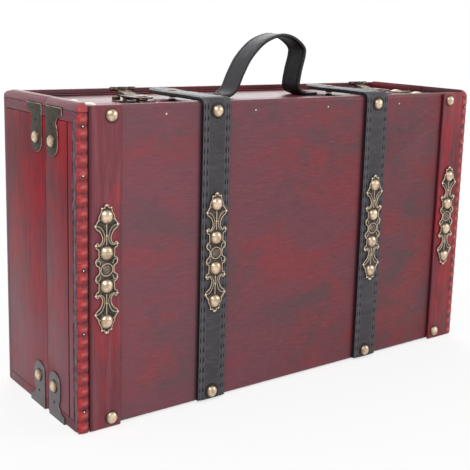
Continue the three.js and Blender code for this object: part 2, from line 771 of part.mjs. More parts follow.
function latchCatch() {
  const foot = latchTop - sheet / 2;
  const top = loopLow - hookClearance;
  const back = hookPlace + hookCurl;
  const lip = hookPlace - hookCurl / 2;
  const shape = new THREE.Shape();
  shape.moveTo(back, foot);
  shape.lineTo(back, top - hookCurl);
  shape.quadraticCurveTo(back, top, lip, top);
  shape.lineTo(lip, top - sheet);
  shape.quadraticCurveTo(back - sheet, top - sheet, back - sheet, foot);
  return join(latchPlate(catchStart, catchEnd), sideBar(shape, -hookWidth / 2, hookWidth / 2, 4));
}

for (const [side, x] of across(latchPlaceShares)) {
  addPiece(base, `latch_base_${side}`, latchBase(), "bronze", x, 0, boxHeight);
  addPiece(base, `latch_lever_${side}`, latchLever(), "bronze", x, 0, boxHeight);
  addPiece(base, `latch_loop_${side}`, latchLoop(), "bronze", x, 0, boxHeight);
  addPiece(lid, `latch_catch_${side}`, latchCatch(), "bronze", x, 0, boxHeight);
}

// Hinges: the lid leaf has the middle knuckle, the base leaf the outer two and the pin
function hingePlate(sign) {
  const near = lidDepth + sign * barrelRadius / 2;
  const far = lidDepth + sign * hingeLeaf;
  const half = hingeWidth / 2;
  return upright(rectangle(-half, Math.min(near, far), half, Math.max(near, far)), 0, sheet);
}

function barrel(radius, x0, x1) {
  return rod(radius, x1 - x0, barrelSides).translate((x0 + x1) / 2, lidDepth, hingeAxisHeight);
}

function lidHingeLeaf() {
  const half = hingeWidth / 2;
  const reach = hingeWidth / 6 - seat / 2;
  const room = barrelRadius + seat;
  const plate = cut(hingePlate(-1), barrel(room, -half - seat, -reach), barrel(room, reach, half + seat));
  const knuckle = barrel(barrelRadius, -reach, reach);
  return cut(join(plate, knuckle), barrel(hingePinRadius + hingeClearance, -half, half));
}

function baseHingeLeaf() {
  const half = hingeWidth / 2;
  const reach = hingeWidth / 6 + seat / 2;
  const plate = cut(hingePlate(1), barrel(barrelRadius + seat, -reach, reach));
  const knuckles = [barrel(barrelRadius, -half, -reach), barrel(barrelRadius, reach, half)];
  return join(plate, ...knuckles, barrel(hingePinRadius, -half, half));
}

for (const [side, x] of hingeCentres) {
  addPiece(lid, `hinge_leaf_lid_${side}`, lidHingeLeaf(), "bronze", x);
  addPiece(base, `hinge_leaf_base_${side}`, baseHingeLeaf(), "bronze", x);
}

export default suitcase;
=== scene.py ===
import json
import math
import random

import bpy
from bpy.props import FloatProperty, FloatVectorProperty, IntProperty, PointerProperty
from mathutils import Matrix, Vector


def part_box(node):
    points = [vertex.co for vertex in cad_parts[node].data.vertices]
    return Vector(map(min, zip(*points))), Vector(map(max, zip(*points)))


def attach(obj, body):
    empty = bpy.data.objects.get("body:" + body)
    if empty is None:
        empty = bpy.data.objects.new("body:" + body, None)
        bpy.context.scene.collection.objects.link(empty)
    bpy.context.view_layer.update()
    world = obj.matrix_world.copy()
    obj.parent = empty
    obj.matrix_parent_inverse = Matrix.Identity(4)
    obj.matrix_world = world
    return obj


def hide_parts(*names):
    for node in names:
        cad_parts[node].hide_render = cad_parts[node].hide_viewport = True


bl_info = {
    "name": "Wooden suitcase box",
    "version": (1, 0, 0),
    "blender": (4, 5, 0),
    "location": "View3D > Sidebar > Suitcase",
    "description": "Lacquered boards, stitched straps, handle, nails, plates and latches of a suitcase box",
    "category": "Object",
}

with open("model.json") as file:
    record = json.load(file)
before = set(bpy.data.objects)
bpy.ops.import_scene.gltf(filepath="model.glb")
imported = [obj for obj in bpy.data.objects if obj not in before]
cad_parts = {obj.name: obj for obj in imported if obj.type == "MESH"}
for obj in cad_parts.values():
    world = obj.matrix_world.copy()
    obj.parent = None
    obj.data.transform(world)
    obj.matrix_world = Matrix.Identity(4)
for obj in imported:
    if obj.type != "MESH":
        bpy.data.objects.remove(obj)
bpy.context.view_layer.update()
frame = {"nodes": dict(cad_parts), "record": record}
MM = 0.001
# Sides along x and trays along y, with their directions
SIDES = {"left": -1, "right": 1}
TRAYS = {"lid": -1, "base": 1}
# Gap in metres between the front panel's top and the straps
STRAP_GAP = 0.0003
# What the reliefs of leather strips take off the strips' thickness
RELIEF_SPACE = 0.0004
# Place of the groove in the lid's end boards, darkened with painted shade, along y in millimetres
GROOVE = -49.4
# Width and height in millimetres over which the painted reflection haze fades
HAZE_WIDTH, HAZE_HEIGHT = 420, 250
# Painted shade of the groove and of the corners beside the straps and slats
PAINTED_SHADE = (0.012, 0.003, 0.005)
# Lacquer by the run of its grain: scales per millimetre of its clouds, brush lines and hairs, the
# clouds' swirl, the lines' share in the patches, the mottle's scale against the clouds', and the
# shares of soot and of worn hairs
GRAIN = {
    "x": dict(
        clouds=(0.011, 0.02, 0.018), lines=(0.03, 0.6, 0.6), hairs=(0.1, 2.0, 2.0), swirl=0.6,
        line_share=0.3, mottle=1.3, soot=0.78, worn=0.3),
    "y": dict(
        clouds=(0.02, 0.012, 0.03), lines=(0.5, 0.02, 0.5), hairs=(2.0, 0.12, 2.0), swirl=0.8,
        line_share=0.35, mottle=1.3, soot=0.78, worn=0.3),
    "z": dict(
        clouds=(0.034, 0.03, 0.014), lines=(0.26, 0.26, 0.014), hairs=(1.7, 1.7, 0.06), swirl=0.35,
        line_share=0.08, mottle=1.9, soot=0.3, worn=0.1),
}
# The shader's sockets by their short names
SHADER_SOCKETS = {
    "rough": "Roughness", "shine": "Specular IOR Level", "metal": "Metallic", "coat": "Coat Weight",
    "coat_rough": "Coat Roughness", "sheen": "Sheen Weight",
}


# Sizes and colours

def length(name, description, default):
    return FloatProperty(
        name=name, description=description, default=default, min=0.0, max=0.5, subtype="DISTANCE",
        unit="LENGTH", precision=5)


def colour(name, description, default):
    return FloatVectorProperty(
        name=name, description=description, default=default, min=0.0, max=1.0, size=3, subtype="COLOR")


class SuitcaseSizes(bpy.types.PropertyGroup):
    board_edge: length("Board edge", "Rounding of the edges of boards and slats", 0.0005)
    metal_edge: length("Metal edge", "Rounding of the edges of latches", 0.00018)
    nail_radius: length("Nail radius", "Radius of a domed nail head", 0.0055)
    nail_height: length("Nail height", "Height of a domed nail head", 0.0033)
    tack_radius: length("Tack radius", "Radius of the small tacks", 0.0007)
    sheet: length("Sheet", "Thickness of the corner brackets", 0.0008)
    carved_pitch: length("Notch pitch", "Distance between the notches of the carved strips", 0.0097)
    carved_depth: length("Notch depth", "Depth of the notches of the carved strips", 0.0008)
    strap_thickness: length("Strap thickness", "Thickness of the leather straps", 0.0032)
    strap_bend: length("Strap bend", "Radius of the straps' middle line over the front edge", 0.0051)
    stitch_pitch: length("Stitch pitch", "Distance between stitches", 0.0086)
    stitch_radius: length("Stitch radius", "Half the width of a stitch", 0.0005)
    handle_thickness: length("Handle thickness", "Thickness of the handle strip", 0.003)
    handle_flap: length("Handle foot", "Length of a handle foot beyond its leg", 0.02)
    rim_radius: length("Rim radius", "Half the width of the raised rims of the plates", 0.0005)
    stitch_seed: IntProperty(name="Stitch seed", description="Seed of the stitches' small turns", default=7)


class SuitcaseColours(bpy.types.PropertyGroup):
    panel: colour("Panel", "Dull red of the front and back panels", (0.116, 0.0205, 0.0305))
    panel_bright: colour("Panel bright", "Brighter red patches of the panels", (0.172, 0.011, 0.017))
    side: colour("Side", "Red of the end boards and slats", (0.138, 0.0145, 0.024))
    side_bright: colour("Side bright", "Brighter streaks of the end boards", (0.265, 0.008, 0.016))
    shade: colour("Shade", "Dark stain between the brighter parts", (0.030, 0.006, 0.010))
    # Painted on as pale rubbed streaks and worn hairs, and as painted reflection on the left side and foot
    dust_and_reflection: colour("Dust", "Pale rubbed streaks", (0.300, 0.150, 0.180))
    soot: colour("Soot", "Dull dark blotches in the lacquer", (0.052, 0.026, 0.028))
    carved: colour("Carved", "Bright red of the notched strips", (0.390, 0.010, 0.013))
    lining: colour("Lining", "Cloth inside the trays", (0.060, 0.016, 0.020))
    leather: colour("Leather", "Dark grey leather of the straps", (0.034, 0.030, 0.036))
    handle: colour("Handle leather", "Nearly black leather of the handle", (0.021, 0.018, 0.024))
    thread: colour("Thread", "Stitching thread", (0.085, 0.080, 0.092))
    brass: colour("Brass", "Polished nail heads", (0.780, 0.610, 0.440))
    worn: colour("Worn brass", "Rubbed edges and rims", (0.560, 0.455, 0.350))
    bronze: colour("Bronze", "Dark fields of plates and latches", (0.026, 0.022, 0.020))
    latch: colour("Latch", "Rubbed bronze of the latches", (0.060, 0.040, 0.030))
    bracket: colour("Bracket", "Dark sheet of the corner brackets", (0.036, 0.028, 0.017))
    floor: colour("Floor", "Studio floor and backdrop", (1.0, 1.0, 1.0))


def sizes():
    return bpy.context.scene.suitcase_sizes


def colours():
    return bpy.context.scene.suitcase_colours


# Materials

def sum_of(kind, turned=False):
    """A method that feeds a wire and any other value to a node of this kind, turned round or not."""
    def method(wire, *others):
        values = (*others, wire) if turned else (wire, *others)
        return wire.finish.node("ShaderNodeMath", {"operation": kind}, dict(enumerate(values)))
    return method


class Wire:
    """A socket of a finish that takes part in sums, as a number would."""

    __add__ = __radd__ = sum_of("ADD")
    __mul__ = __rmul__ = sum_of("MULTIPLY")
    __sub__ = sum_of("SUBTRACT")
    __rsub__ = sum_of("SUBTRACT", True)
    __truediv__ = sum_of("DIVIDE")
    __pow__ = sum_of("POWER")
    __abs__ = sum_of("ABSOLUTE")
    wrap = sum_of("PINGPONG")
    least = sum_of("MINIMUM")
    most = sum_of("MAXIMUM")

    def __init__(self, finish, socket):
        self.finish = finish
        self.socket = socket

    def ramp(self, low, high):
        """Rises softly from 0 at low to 1 at high."""
        return self.finish.node(
            "ShaderNodeMapRange", {"interpolation_type": "SMOOTHSTEP"},
            {"Value": self, "From Min": low, "From Max": high, "To Min": 0.0, "To Max": 1.0})


class Finish:
    """A material whose pattern is written as sums of wires and painted coat over coat."""

    def __init__(self, name, tone, **shader):
        self.tone = self.colour(tone)
        self.material = bpy.data.materials.new(name)
        self.material.use_nodes = True
        self.tree = self.material.node_tree
        self.tree.nodes.clear()
        output = self.tree.nodes.new("ShaderNodeOutputMaterial")
        self.shader = self.tree.nodes.new("ShaderNodeBsdfPrincipled")
        self.tree.links.new(self.shader.outputs[0], output.inputs[0])
        self.surface = output.inputs[0]
        for key, value in shader.items():
            self.shader.inputs[SHADER_SOCKETS[key]].default_value = value

    def node(self, kind, settings=None, inputs=None, output=0):
        made = self.tree.nodes.new(kind)
        for key, value in (settings or {}).items():
            setattr(made, key, value)
        for key, value in (inputs or {}).items():
            self.feed(made.inputs[key], value)
        return Wire(self, made.outputs[output])

    def feed(self, socket, value):
        if isinstance(value, Wire):
            self.tree.links.new(value.socket, socket)
        elif socket.type == "RGBA" and len(value) == 3:
            socket.default_value = (*value, 1.0)
        else:
            socket.default_value = value

    def set(self, socket, value):
        self.feed(self.shader.inputs[socket], value)

    def place(self, scale=1.0):
        """The place on the object in millimetres, stretched by one scale or by one for each axis."""
        scales = (scale, scale, scale) if isinstance(scale, float) else scale
        return self.node("ShaderNodeMapping", None, {
            "Vector": self.node("ShaderNodeTexCoord", output="Object"), "Scale": [s / MM for s in scales]})

    def parts(self, vector):
        first = self.node("ShaderNodeSeparateXYZ", None, {0: vector})
        return [Wire(self, socket) for socket in first.socket.node.outputs]

    def shares(self):
        """Shares across and along a strip, or round and up a dome, from its UV map."""
        return self.parts(self.node("ShaderNodeUVMap"))[:2]

    def noise(self, scale, detail=2.0, roughness=0.5, distortion=0.0):
        return self.node("ShaderNodeTexNoise", None, {
            "Vector": self.place(scale), "Scale": 1.0, "Detail": detail, "Roughness": roughness,
            "Distortion": distortion})

    def colour(self, tone):
        """A colour as it is, or the one with that name."""
        return getattr(colours(), tone) if isinstance(tone, str) else tone

    def mix(self, under, over, share):
        return self.node("ShaderNodeMix", {"data_type": "RGBA"}, {0: share, 6: under, 7: over}, 2)

    def paint(self, tone, share):
        self.tone = self.mix(self.tone, self.colour(tone), share)

    def done(self, rough=None, height=None, distance=0.0, strength=1.0):
        """The material, with patterns of roughness and of its bumps' height where it has them."""
        self.set("Base Color", self.tone)
        if rough:
            self.set("Roughness", rough)
        if height:
            self.set("Normal", self.node(
                "ShaderNodeBump", None, {"Height": height, "Distance": distance, "Strength": strength}))
        return self.material


def lacquer(name, wood, along, patch, streaks, shine, reflection_haze, pale=0.0, **places):
    """Aged red lacquer: dull and bright patches, brush lines along the grain, pale rubbed streaks.

    The reflection_haze is painted reflection that greys the left side and the foot, and pale is the
    share of the wider rubbed streaks. Places, in millimetres: painted shade darkens a groove along y
    and the corners along x. A tip before its place along y has the bright red of the notched strips.
    The raw edge is speckled, beyond half the width, before the front's place along y or behind the
    rear's. A face above the polish's level shines.
    """
    grain = GRAIN[along]
    finish = Finish(name, wood, rough=0.4, shine=shine)
    clouds = finish.noise(grain["clouds"], 4.0, 0.62, grain["swirl"])
    lines = finish.noise(grain["lines"], 4.0, 0.65, 0.3)
    hairs = finish.noise(grain["hairs"], 2.0, 0.6)
    mottle = finish.noise([scale * grain["mottle"] for scale in grain["clouds"]], 5.0, 0.68, 0.6)
    x, y, z = finish.parts(finish.place())
    # Painted reflection: the left side and the foot are greyed, and the bright patches fade there
    left = (0.5 - x / HAZE_WIDTH).most(0.0)
    foot = (1 - z / HAZE_HEIGHT).ramp(0.15, 0.95) * reflection_haze[1]
    reach = clouds + (lines - 0.5) * grain["line_share"] - left * 0.06 + 0.03
    finish.paint(f"{wood}_bright", reach.ramp(*patch) * (1 - foot))
    finish.paint("shade", lines.ramp(0.5, 0.74) * streaks)
    finish.paint("dust_and_reflection", (1 - lines).ramp(0.48, 0.7) * pale * (1.2 - clouds))
    finish.paint("soot", mottle.ramp(0.44, 0.66) * grain["soot"])
    finish.paint("shade", hairs.ramp(0.5, 0.78) * 0.6)
    worn = (1 - hairs).ramp(0.55, 0.85) * grain["worn"]
    foot_reflection = foot * (1.1 - 0.5 * reach.ramp(0.35, 0.65))
    # Pale dust on worn hairs, and painted reflection on the left side and towards the foot
    finish.paint("dust_and_reflection", worn + left * reflection_haze[0] + foot_reflection)
    # Painted shade along the edges of the straps and slats
    for corner in places.get("corners", ()):
        finish.paint(PAINTED_SHADE, (1 - abs(x - corner).ramp(0.4, 3.4)) * 0.7)
    # Painted shade along the groove of the lid's end boards
    if "groove" in places:
        finish.paint(PAINTED_SHADE, (1 - abs(y - places["groove"]).ramp(0.5, 1.6)) * 0.9)
    if "tip" in places:
        finish.paint("carved", (places["tip"] - y + lines * 2).ramp(0.0, 1.6) * 0.55)
    past = {
        "edge": lambda place: abs(x) - place,
        "front": lambda place: place - y,
        "rear": lambda place: y - place,
    }
    raw_edges = [measure(places[kind]) for kind, measure in past.items() if kind in places]
    if raw_edges:
        specks = finish.noise((0.5, 0.5, 0.16), 3.0, 0.7)
        pale_specks = specks.ramp(0.42, 0.7) * (0.2 if "rear" in places else 0.8)
        raw = finish.mix((0.040, 0.016, 0.024), (0.23, 0.15, 0.19), pale_specks)
        beyond = raw_edges[0]
        for other in raw_edges[1:]:
            beyond = beyond.least(other)
        finish.paint(raw, beyond.ramp(-0.5, -0.1) * 0.9)
    if "polish" in places:
        finish.set("Coat Weight", z.ramp(places["polish"] - 0.4, places["polish"]) * 0.13)
        finish.set("Coat Roughness", 0.3)
    return finish.done(0.3 + 0.16 * hairs + 0.1 * lines, lines * 0.5 + hairs * 0.5, 0.00008, 0.9)


def carved_red():
    """Bright lacquer of the notched strips, duller on the inner side, with painted shade in the
    notches and a painted highlight on each crest.
    """
    finish = Finish("carved_red", "carved", rough=0.34, shine=0.45)
    low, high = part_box("carved_strip_left")
    x, _, z = finish.parts(finish.place())
    height = z - low.z / MM
    pitch = (high.z - low.z) / round((high.z - low.z) / sizes().carved_pitch) / MM
    crest = height.wrap(pitch / 2)
    inward = -low.x / MM - abs(x)
    wear = finish.noise((0.5, 0.5, 0.3), 4.0, 0.72, 0.8)
    blots = finish.noise((0.12, 0.12, 0.04), 2.0, 0.6)
    cuts = 1 - height.wrap(pitch / 6).ramp(0.1, 0.8)
    dull = inward.ramp(2.6, 4.6) * 0.5 + blots.ramp(0.42, 0.62) * 0.4
    valley_shade = 1 - crest.ramp(pitch * 0.04, pitch * 0.3)
    # Rubbed wear, and painted shade in the fine cuts and in the notch valleys
    dark = wear.ramp(0.48, 0.72) * 0.5 + cuts * 0.14 + valley_shade * blots * 0.9
    # Painted highlight on each crest, strongest 4.8 mm in from the outer edge
    light = crest.ramp(pitch * 0.24, pitch * 0.5) * (1 - abs(inward - 4.8).ramp(0.8, 3.6)) * (1.2 - wear)
    finish.paint((0.175, 0.022, 0.028), dull)
    finish.paint("shade", dark)
    # Painted highlight colour on the crests, and on the patches where the wear noise is low
    finish.paint((0.58, 0.13, 0.12), light * 0.75 + (1 - wear).ramp(0.55, 0.72) * 0.2)
    return finish.done(0.26 + 0.3 * wear, wear + cuts * 0.3, 0.0005)


def cloth():
    finish = Finish("lining_cloth", "lining", rough=0.9, sheen=0.08)
    x, y, z = finish.parts(finish.place())
    weave = (x.wrap(0.5) + z.wrap(0.5) + y.wrap(0.5)) / 1.5
    finish.paint("shade", weave.ramp(0.2, 0.8) * 0.5)
    return finish.done(None, weave, 0.0002)


def leather(name, tone, shine, rows, width, run, pins=()):
    """Pebbled dark leather. Rows are the stitch rows' distances from the middle, in millimetres.

    Pins are the places of the nails that press a ring into it, darkened with painted shade.
    """
    finish = Finish(name, tone, shine=shine, coat=0.1 * shine, coat_rough=0.3)
    black = (0.006, 0.005, 0.007)
    pale = [0.02 + 1.9 * c for c in tone]
    pebbles = finish.node("ShaderNodeTexVoronoi", {"feature": "SMOOTH_F1"}, {
        "Vector": finish.place((1.1, 1.1, 0.9)), "Scale": 1.0})
    cloud = finish.noise(0.05, 3.0, 0.6)
    crease = finish.noise((0.05, 0.25, 0.45), 3.0, 0.6, 1.0)
    u, v = finish.shares()
    aside = abs((u - 0.5) * (width / MM))
    along = v * (run / MM)
    half = width / 2 / MM
    finish.paint(black, cloud.ramp(0.35, 0.75) * 0.4 + pebbles.ramp(0.3, 0.8) * 0.25)
    finish.paint(pale, crease.ramp(0.5, 0.75) * 0.45)
    finish.paint(pale, aside.ramp(half - 1.1, half - 0.5) * 0.45)
    height = crease * 0.6 - pebbles * 0.4
    pitch = run / MM / round(run / sizes().stitch_pitch)
    for row in rows:
        near = abs(aside - row)
        # Painted shade in the stitch groove and the stitch holes, and a painted highlight on the ridge beside
        # the row
        line = 1 - near.ramp(0.2, 0.95)
        ridge_highlight = (1 - abs(near - 1.3).ramp(0.1, 0.45)) * 0.5
        hole = (1 - near.ramp(0.7, 1.05)) * (1 - along.wrap(pitch / 2).ramp(1.2, 1.8))
        finish.paint(pale, ridge_highlight)
        finish.paint(black, line * 0.6)
        finish.paint((0.001, 0.001, 0.001), hole)
        height = height - line * 0.8 - hole * 2.0
    x, _, z = finish.parts(finish.place())
    for pin in pins:
        reach = ((x - pin.x / MM) ** 2.0 + (z - pin.z / MM) ** 2.0) ** 0.5
        # Painted shade in the ring that each nail presses into the leather
        ring = 1 - reach.ramp(6.0, 7.6)
        finish.paint(black, ring * 0.85)
        height = height - ring * 2.5
    # Painted shade on the strip's side faces
    finish.paint(black, aside.ramp(half - 0.3, half - 0.1))
    return finish.done(0.36 + 0.22 * pebbles + 0.12 * cloud, height, 0.0003, 0.8)


def waxed_thread():
    finish = Finish("waxed_thread", "thread", rough=0.4)
    finish.paint("leather", finish.noise(2.0, 1.0))
    return finish.done()


def polished_brass():
    """Nail heads, bright on top, with painted shade darkening the foot of the dome."""
    finish = Finish("polished_brass", "brass", metal=1.0, rough=0.2)
    rise = finish.shares()[1]
    age = finish.noise(0.17, 3.0, 0.55)
    pits = finish.noise(1.4, 2.0, 0.6)
    # Painted shade towards the foot of the dome
    rim = 1 - (rise + age * 0.12 - 0.06).ramp(0.66, 0.86)
    finish.paint((0.24, 0.16, 0.09), age.ramp(0.46, 0.62) * 0.55)
    finish.paint((0.09, 0.06, 0.035), pits.ramp(0.56, 0.76) * 0.5)
    finish.paint((0.035, 0.022, 0.014), rim)
    return finish.done(0.13 + 0.13 * age + 0.25 * rim, age + pits * 0.4, 0.0003)


def aged_metal(name, dark, worn, wear, rough, metal=0.9):
    """Dark patina with rubbed, brighter patches."""
    finish = Finish(name, dark, metal=metal, rough=rough)
    patina = finish.noise(0.16, 4.0, 0.65, 0.6)
    grit = finish.noise(1.6, 2.0, 0.6)
    rub = patina.ramp(0.42, 0.72) * wear + grit.ramp(0.55, 0.8) * (wear * 0.4)
    finish.paint(worn, rub.least(1.0))
    return finish.done(rough + 0.18 * patina - 0.1 * rub, patina * 0.6 + grit * 0.4, 0.00012)


def lower_share(finish):
    """1 on the lower brackets and 0 on the upper ones."""
    return 1 - finish.parts(finish.place())[2].ramp(60.0, 120.0)


def bracket_sheet():
    """Dark olive sheet, greyer on the lower brackets."""
    finish = Finish("bracket_sheet", "bracket", metal=0.7, rough=0.45)
    patina = finish.noise(0.16, 4.0, 0.65, 0.6)
    grit = finish.noise(1.2, 2.0, 0.6)
    finish.paint((0.150, 0.144, 0.150), lower_share(finish))
    finish.paint("worn", patina.ramp(0.5, 0.75) * 0.12 + grit.ramp(0.55, 0.75) * 0.2)
    finish.paint((0.01, 0.01, 0.008), (1 - grit).ramp(0.55, 0.8) * 0.4)
    return finish.done(0.4 + 0.2 * patina, patina * 0.6 + grit * 0.4, 0.0002)


def bracket_rim():
    """Brass of the brackets' edge faces, dulled to grey on the lower ones."""
    finish = Finish("bracket_rim", "worn", metal=0.85, rough=0.4)
    rub = finish.noise(0.12, 3.0, 0.6)
    finish.paint("bracket", rub.ramp(0.4, 0.62) * 0.7)
    finish.paint((0.170, 0.164, 0.176), lower_share(finish))
    return finish.done()


def at(node, end, axis):
    """The lowest (0) or highest (1) place of a part along an axis, in millimetres."""
    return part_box(node)[end]["xyz".index(axis)] / MM


END_WOOD = dict(
    wood="side", along="z", patch=(0.36, 0.6), streaks=0.5, shine=0.13, reflection_haze=(0.0, 0.4), pale=0.05)
LACQUERS = {
    "panel": dict(
        wood="panel", along="x", patch=(0.45, 0.66), streaks=0.3, shine=0.3, reflection_haze=(0.24, 0.0),
        edge=at("lid_front_panel", 1, "x"),
        corners=[at(node, 0, "x") for node in ("strap_left", "strap_right", "slat_right")]),
    "back": dict(
        wood="panel", along="x", patch=(0.47, 0.7), streaks=0.3, shine=0.3, reflection_haze=(0.24, 0.0),
        edge=at("base_back_panel", 1, "x"), rear=at("base_back_panel", 1, "y") - 4.6),
    "top": dict(
        wood="side", along="x", patch=(0.45, 0.7), streaks=0.5, shine=0.25, reflection_haze=(0.12, 0.0), pale=0.4,
        polish=at("lid_top_board", 1, "z") - 0.3),
    "moulding": dict(
        wood="side", along="y", patch=(0.5, 0.7), streaks=0.8, shine=0.42, reflection_haze=(0.3, 0.0), pale=0.8,
        tip=at("lid_moulding_left", 0, "y") + 3.5),
    "end": END_WOOD,
    "lid_end": dict(END_WOOD, groove=GROOVE, front=at("lid_end_left", 0, "y") + 1.6),
    "slat": dict(
        wood="side", along="z", patch=(0.44, 0.66), streaks=0.5, shine=0.3, reflection_haze=(0.12, 0.0), pale=0.3,
        corners=[at("slat_left", 0, "x")]),
}
# Material, dark tone, worn tone, wear, roughness and metal of each aged metal
METALS = {
    "rim": ("rubbed_rims", "worn", "brass", 0.5, 0.3),
    "bronze": ("dark_bronze", "bronze", "worn", 0.22, 0.5, 0.6),
    "latch": ("latch_bronze", "latch", (0.360, 0.250, 0.185), 0.7, 0.36),
    "medallion": ("medallion_bronze", (0.115, 0.090, 0.070), "worn", 0.3, 0.5, 0.7),
    "tack": ("tack_steel", (0.75, 0.70, 0.68), (0.9, 0.88, 0.86), 0.5, 0.3),
    # Painted shade: dark domes in the brackets' holes, dark rings under the notched strips' tacks, a dark rod
    # at the back rim's foot
    "slot": ("slot_shadow", (0.012, 0.005, 0.006), "shade", 0.3, 0.8, 0.0),
}
OTHER_FINISHES = {
    "carved": carved_red, "cloth": cloth, "thread": waxed_thread, "brass": polished_brass,
    "bracket": bracket_sheet, "bracket_rim": bracket_rim,
}
FINISHES = {}


def finish_named(name):
    """Makes each finish once."""
    if name not in FINISHES:
        if name in LACQUERS:
            FINISHES[name] = lacquer(f"{name}_lacquer", **LACQUERS[name])
        elif name in METALS:
            FINISHES[name] = aged_metal(*METALS[name])
        else:
            FINISHES[name] = OTHER_FINISHES[name]()
    return FINISHES[name]


# Modelling

def deselect():
    for other in bpy.context.selected_objects:
        other.select_set(False)


def lone(piece):
    deselect()
    piece.select_set(True)
    bpy.context.view_layer.objects.active = piece


def added(operator, **settings):
    """A new primitive, made with nothing else selected."""
    deselect()
    operator(**settings)
    return bpy.context.active_object


def linked(name, data):
    piece = bpy.data.objects.new(name, data)
    bpy.context.collection.objects.link(piece)
    return piece


def edit(piece, *steps):
    """Runs edit-mode steps on the whole piece."""
    lone(piece)
    bpy.ops.object.mode_set(mode="EDIT")
    bpy.ops.mesh.select_all(action="SELECT")
    for step in steps:
        step()
    bpy.ops.object.mode_set(mode="OBJECT")


def weld():
    bpy.ops.mesh.remove_doubles(threshold=0.000005)


def modify(piece, kind, **settings):
    lone(piece)
    modifier = piece.modifiers.new(kind.lower(), kind)
    for key, value in settings.items():
        setattr(modifier, key, value)
    bpy.ops.object.modifier_apply(modifier=modifier.name)


def bevel(piece, width, degrees=30, segments=2):
    modify(piece, "BEVEL", width=width, segments=segments, limit_method="ANGLE",
           angle_limit=math.radians(degrees))


def settle(piece, name):
    """Applies the object's place to its mesh and names it."""
    lone(piece)
    bpy.ops.object.transform_apply(location=True, rotation=True, scale=True)
    piece.name = name
    piece.data.name = name
    return piece


def smooth(piece, degrees=35):
    lone(piece)
    bpy.ops.object.shade_smooth_by_angle(angle=math.radians(degrees))


def coat(piece, *finishes):
    piece.data.materials.clear()
    for finish in finishes:
        piece.data.materials.append(finish_named(finish) if isinstance(finish, str) else finish)


def outward(piece):
    edit(piece, weld, lambda: bpy.ops.mesh.normals_make_consistent(inside=False))


def copied(piece, name, matrix):
    other = linked(name, piece.data.copy())
    other.data.transform(matrix)
    return other


def joined(name, pieces):
    lone(pieces[0])
    for piece in pieces[1:]:
        piece.select_set(True)
    bpy.ops.object.join()
    return settle(pieces[0], name)


def discard(*pieces):
    for piece in pieces:
        bpy.data.objects.remove(piece)


def body_of_node(node):
    bodies = frame["record"]["behaviour"]["bodies"]
    return next(body for body, nodes in bodies.items() if node in nodes)


def stand_for(piece, node):
    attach(piece, body_of_node(node))
    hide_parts(node)


def go_with(piece, node):
    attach(piece, body_of_node(node))


def eased(node, edge, finish):
    """A copy of a part whose hard edges are rounded by a small amount."""
    piece = linked(f"{node}_eased", frame["nodes"][node].data.copy())
    edit(piece, weld, lambda: bpy.ops.mesh.dissolve_limited(angle_limit=math.radians(0.4)))
    bevel(piece, edge, 35)
    smooth(piece)
    coat(piece, finish)
    stand_for(piece, node)
    return piece


def drawn(name, outlines, closed, flowing, **settings):
    """A mesh from a curve along outlines, straight or flowing between their points."""
    curve = bpy.data.curves.new(name, "CURVE")
    curve.bevel_resolution = 1
    for key, value in settings.items():
        setattr(curve, key, value)
    for points in outlines:
        spline = curve.splines.new("BEZIER" if flowing else "POLY")
        spots = spline.bezier_points if flowing else spline.points
        spots.add(len(points) - 1)
        for spot, point in zip(spots, points):
            place = (*point, 0.0)[:3]
            if flowing:
                spot.co = place
                spot.handle_left_type = spot.handle_right_type = "AUTO"
            else:
                spot.co = (*place, 1.0)
        spline.use_cyclic_u = closed
        spline.resolution_u = 3
    piece = linked(name, curve)
    lone(piece)
    bpy.ops.object.convert(target="MESH")
    return piece


def flat_sheet(name, outlines, thickness, rounding, flowing=False):
    """A sheet from z = 0 up to its thickness, cut to closed outlines, the later ones being holes."""
    piece = drawn(
        name, outlines, True, flowing, dimensions="2D", fill_mode="BOTH",
        extrude=thickness / 2 - rounding, bevel_depth=rounding, offset=-rounding)
    piece.location.z = thickness / 2
    settle(piece, name)
    outward(piece)
    return piece


def bead_line(name, points, radius, closed=False):
    """A round bead along a flowing line."""
    piece = drawn(name, [points], closed, True, dimensions="3D", bevel_depth=radius, use_fill_caps=True)
    smooth(piece, 60)
    return piece


def flowing_line(points, steps):
    """A smooth line through points, as evenly spaced places."""
    ends = [points[0] * 2 - points[1], *points, points[-1] * 2 - points[-2]]
    fine = []
    for a, b, c, d in zip(ends, ends[1:], ends[2:], ends[3:]):
        for i in range(24):
            t = i / 24
            fine.append(0.5 * (2 * b + (c - a) * t + (2 * a - 5 * b + 4 * c - d) * t * t
                               + (3 * b - a - 3 * c + d) * t ** 3))
    fine.append(points[-1])
    return spaced(fine, steps)


def run_of(line):
    return sum((b - a).length for a, b in zip(line, line[1:]))


def spaced(line, steps):
    """The same line with evenly spaced places."""
    gap = run_of(line) / steps
    out, walked, goal = [line[0].copy()], 0.0, gap
    for a, b in zip(line, line[1:]):
        span = (b - a).length
        while span > 0 and walked + span >= goal - 1e-9 and len(out) < steps:
            out.append(a.lerp(b, (goal - walked) / span))
            goal += gap
        walked += span
    while len(out) <= steps:
        out.append(line[-1].copy())
    return out


def frames_along(line, side):
    """Place and outward direction at each step of a line."""
    out = []
    for i, spot in enumerate(line):
        run = line[min(i + 1, len(line) - 1)] - line[max(i - 1, 0)]
        out.append((spot, side.cross(run).normalized()))
    return out


def tapered(tip, left):
    """Share of a strip's width where a length is left before its rounded, slightly blunt tip."""
    blunt = 0.1
    return math.sqrt(max(blunt, 1 - ((tip - left) / tip) ** 2)) if left < tip else 1.0


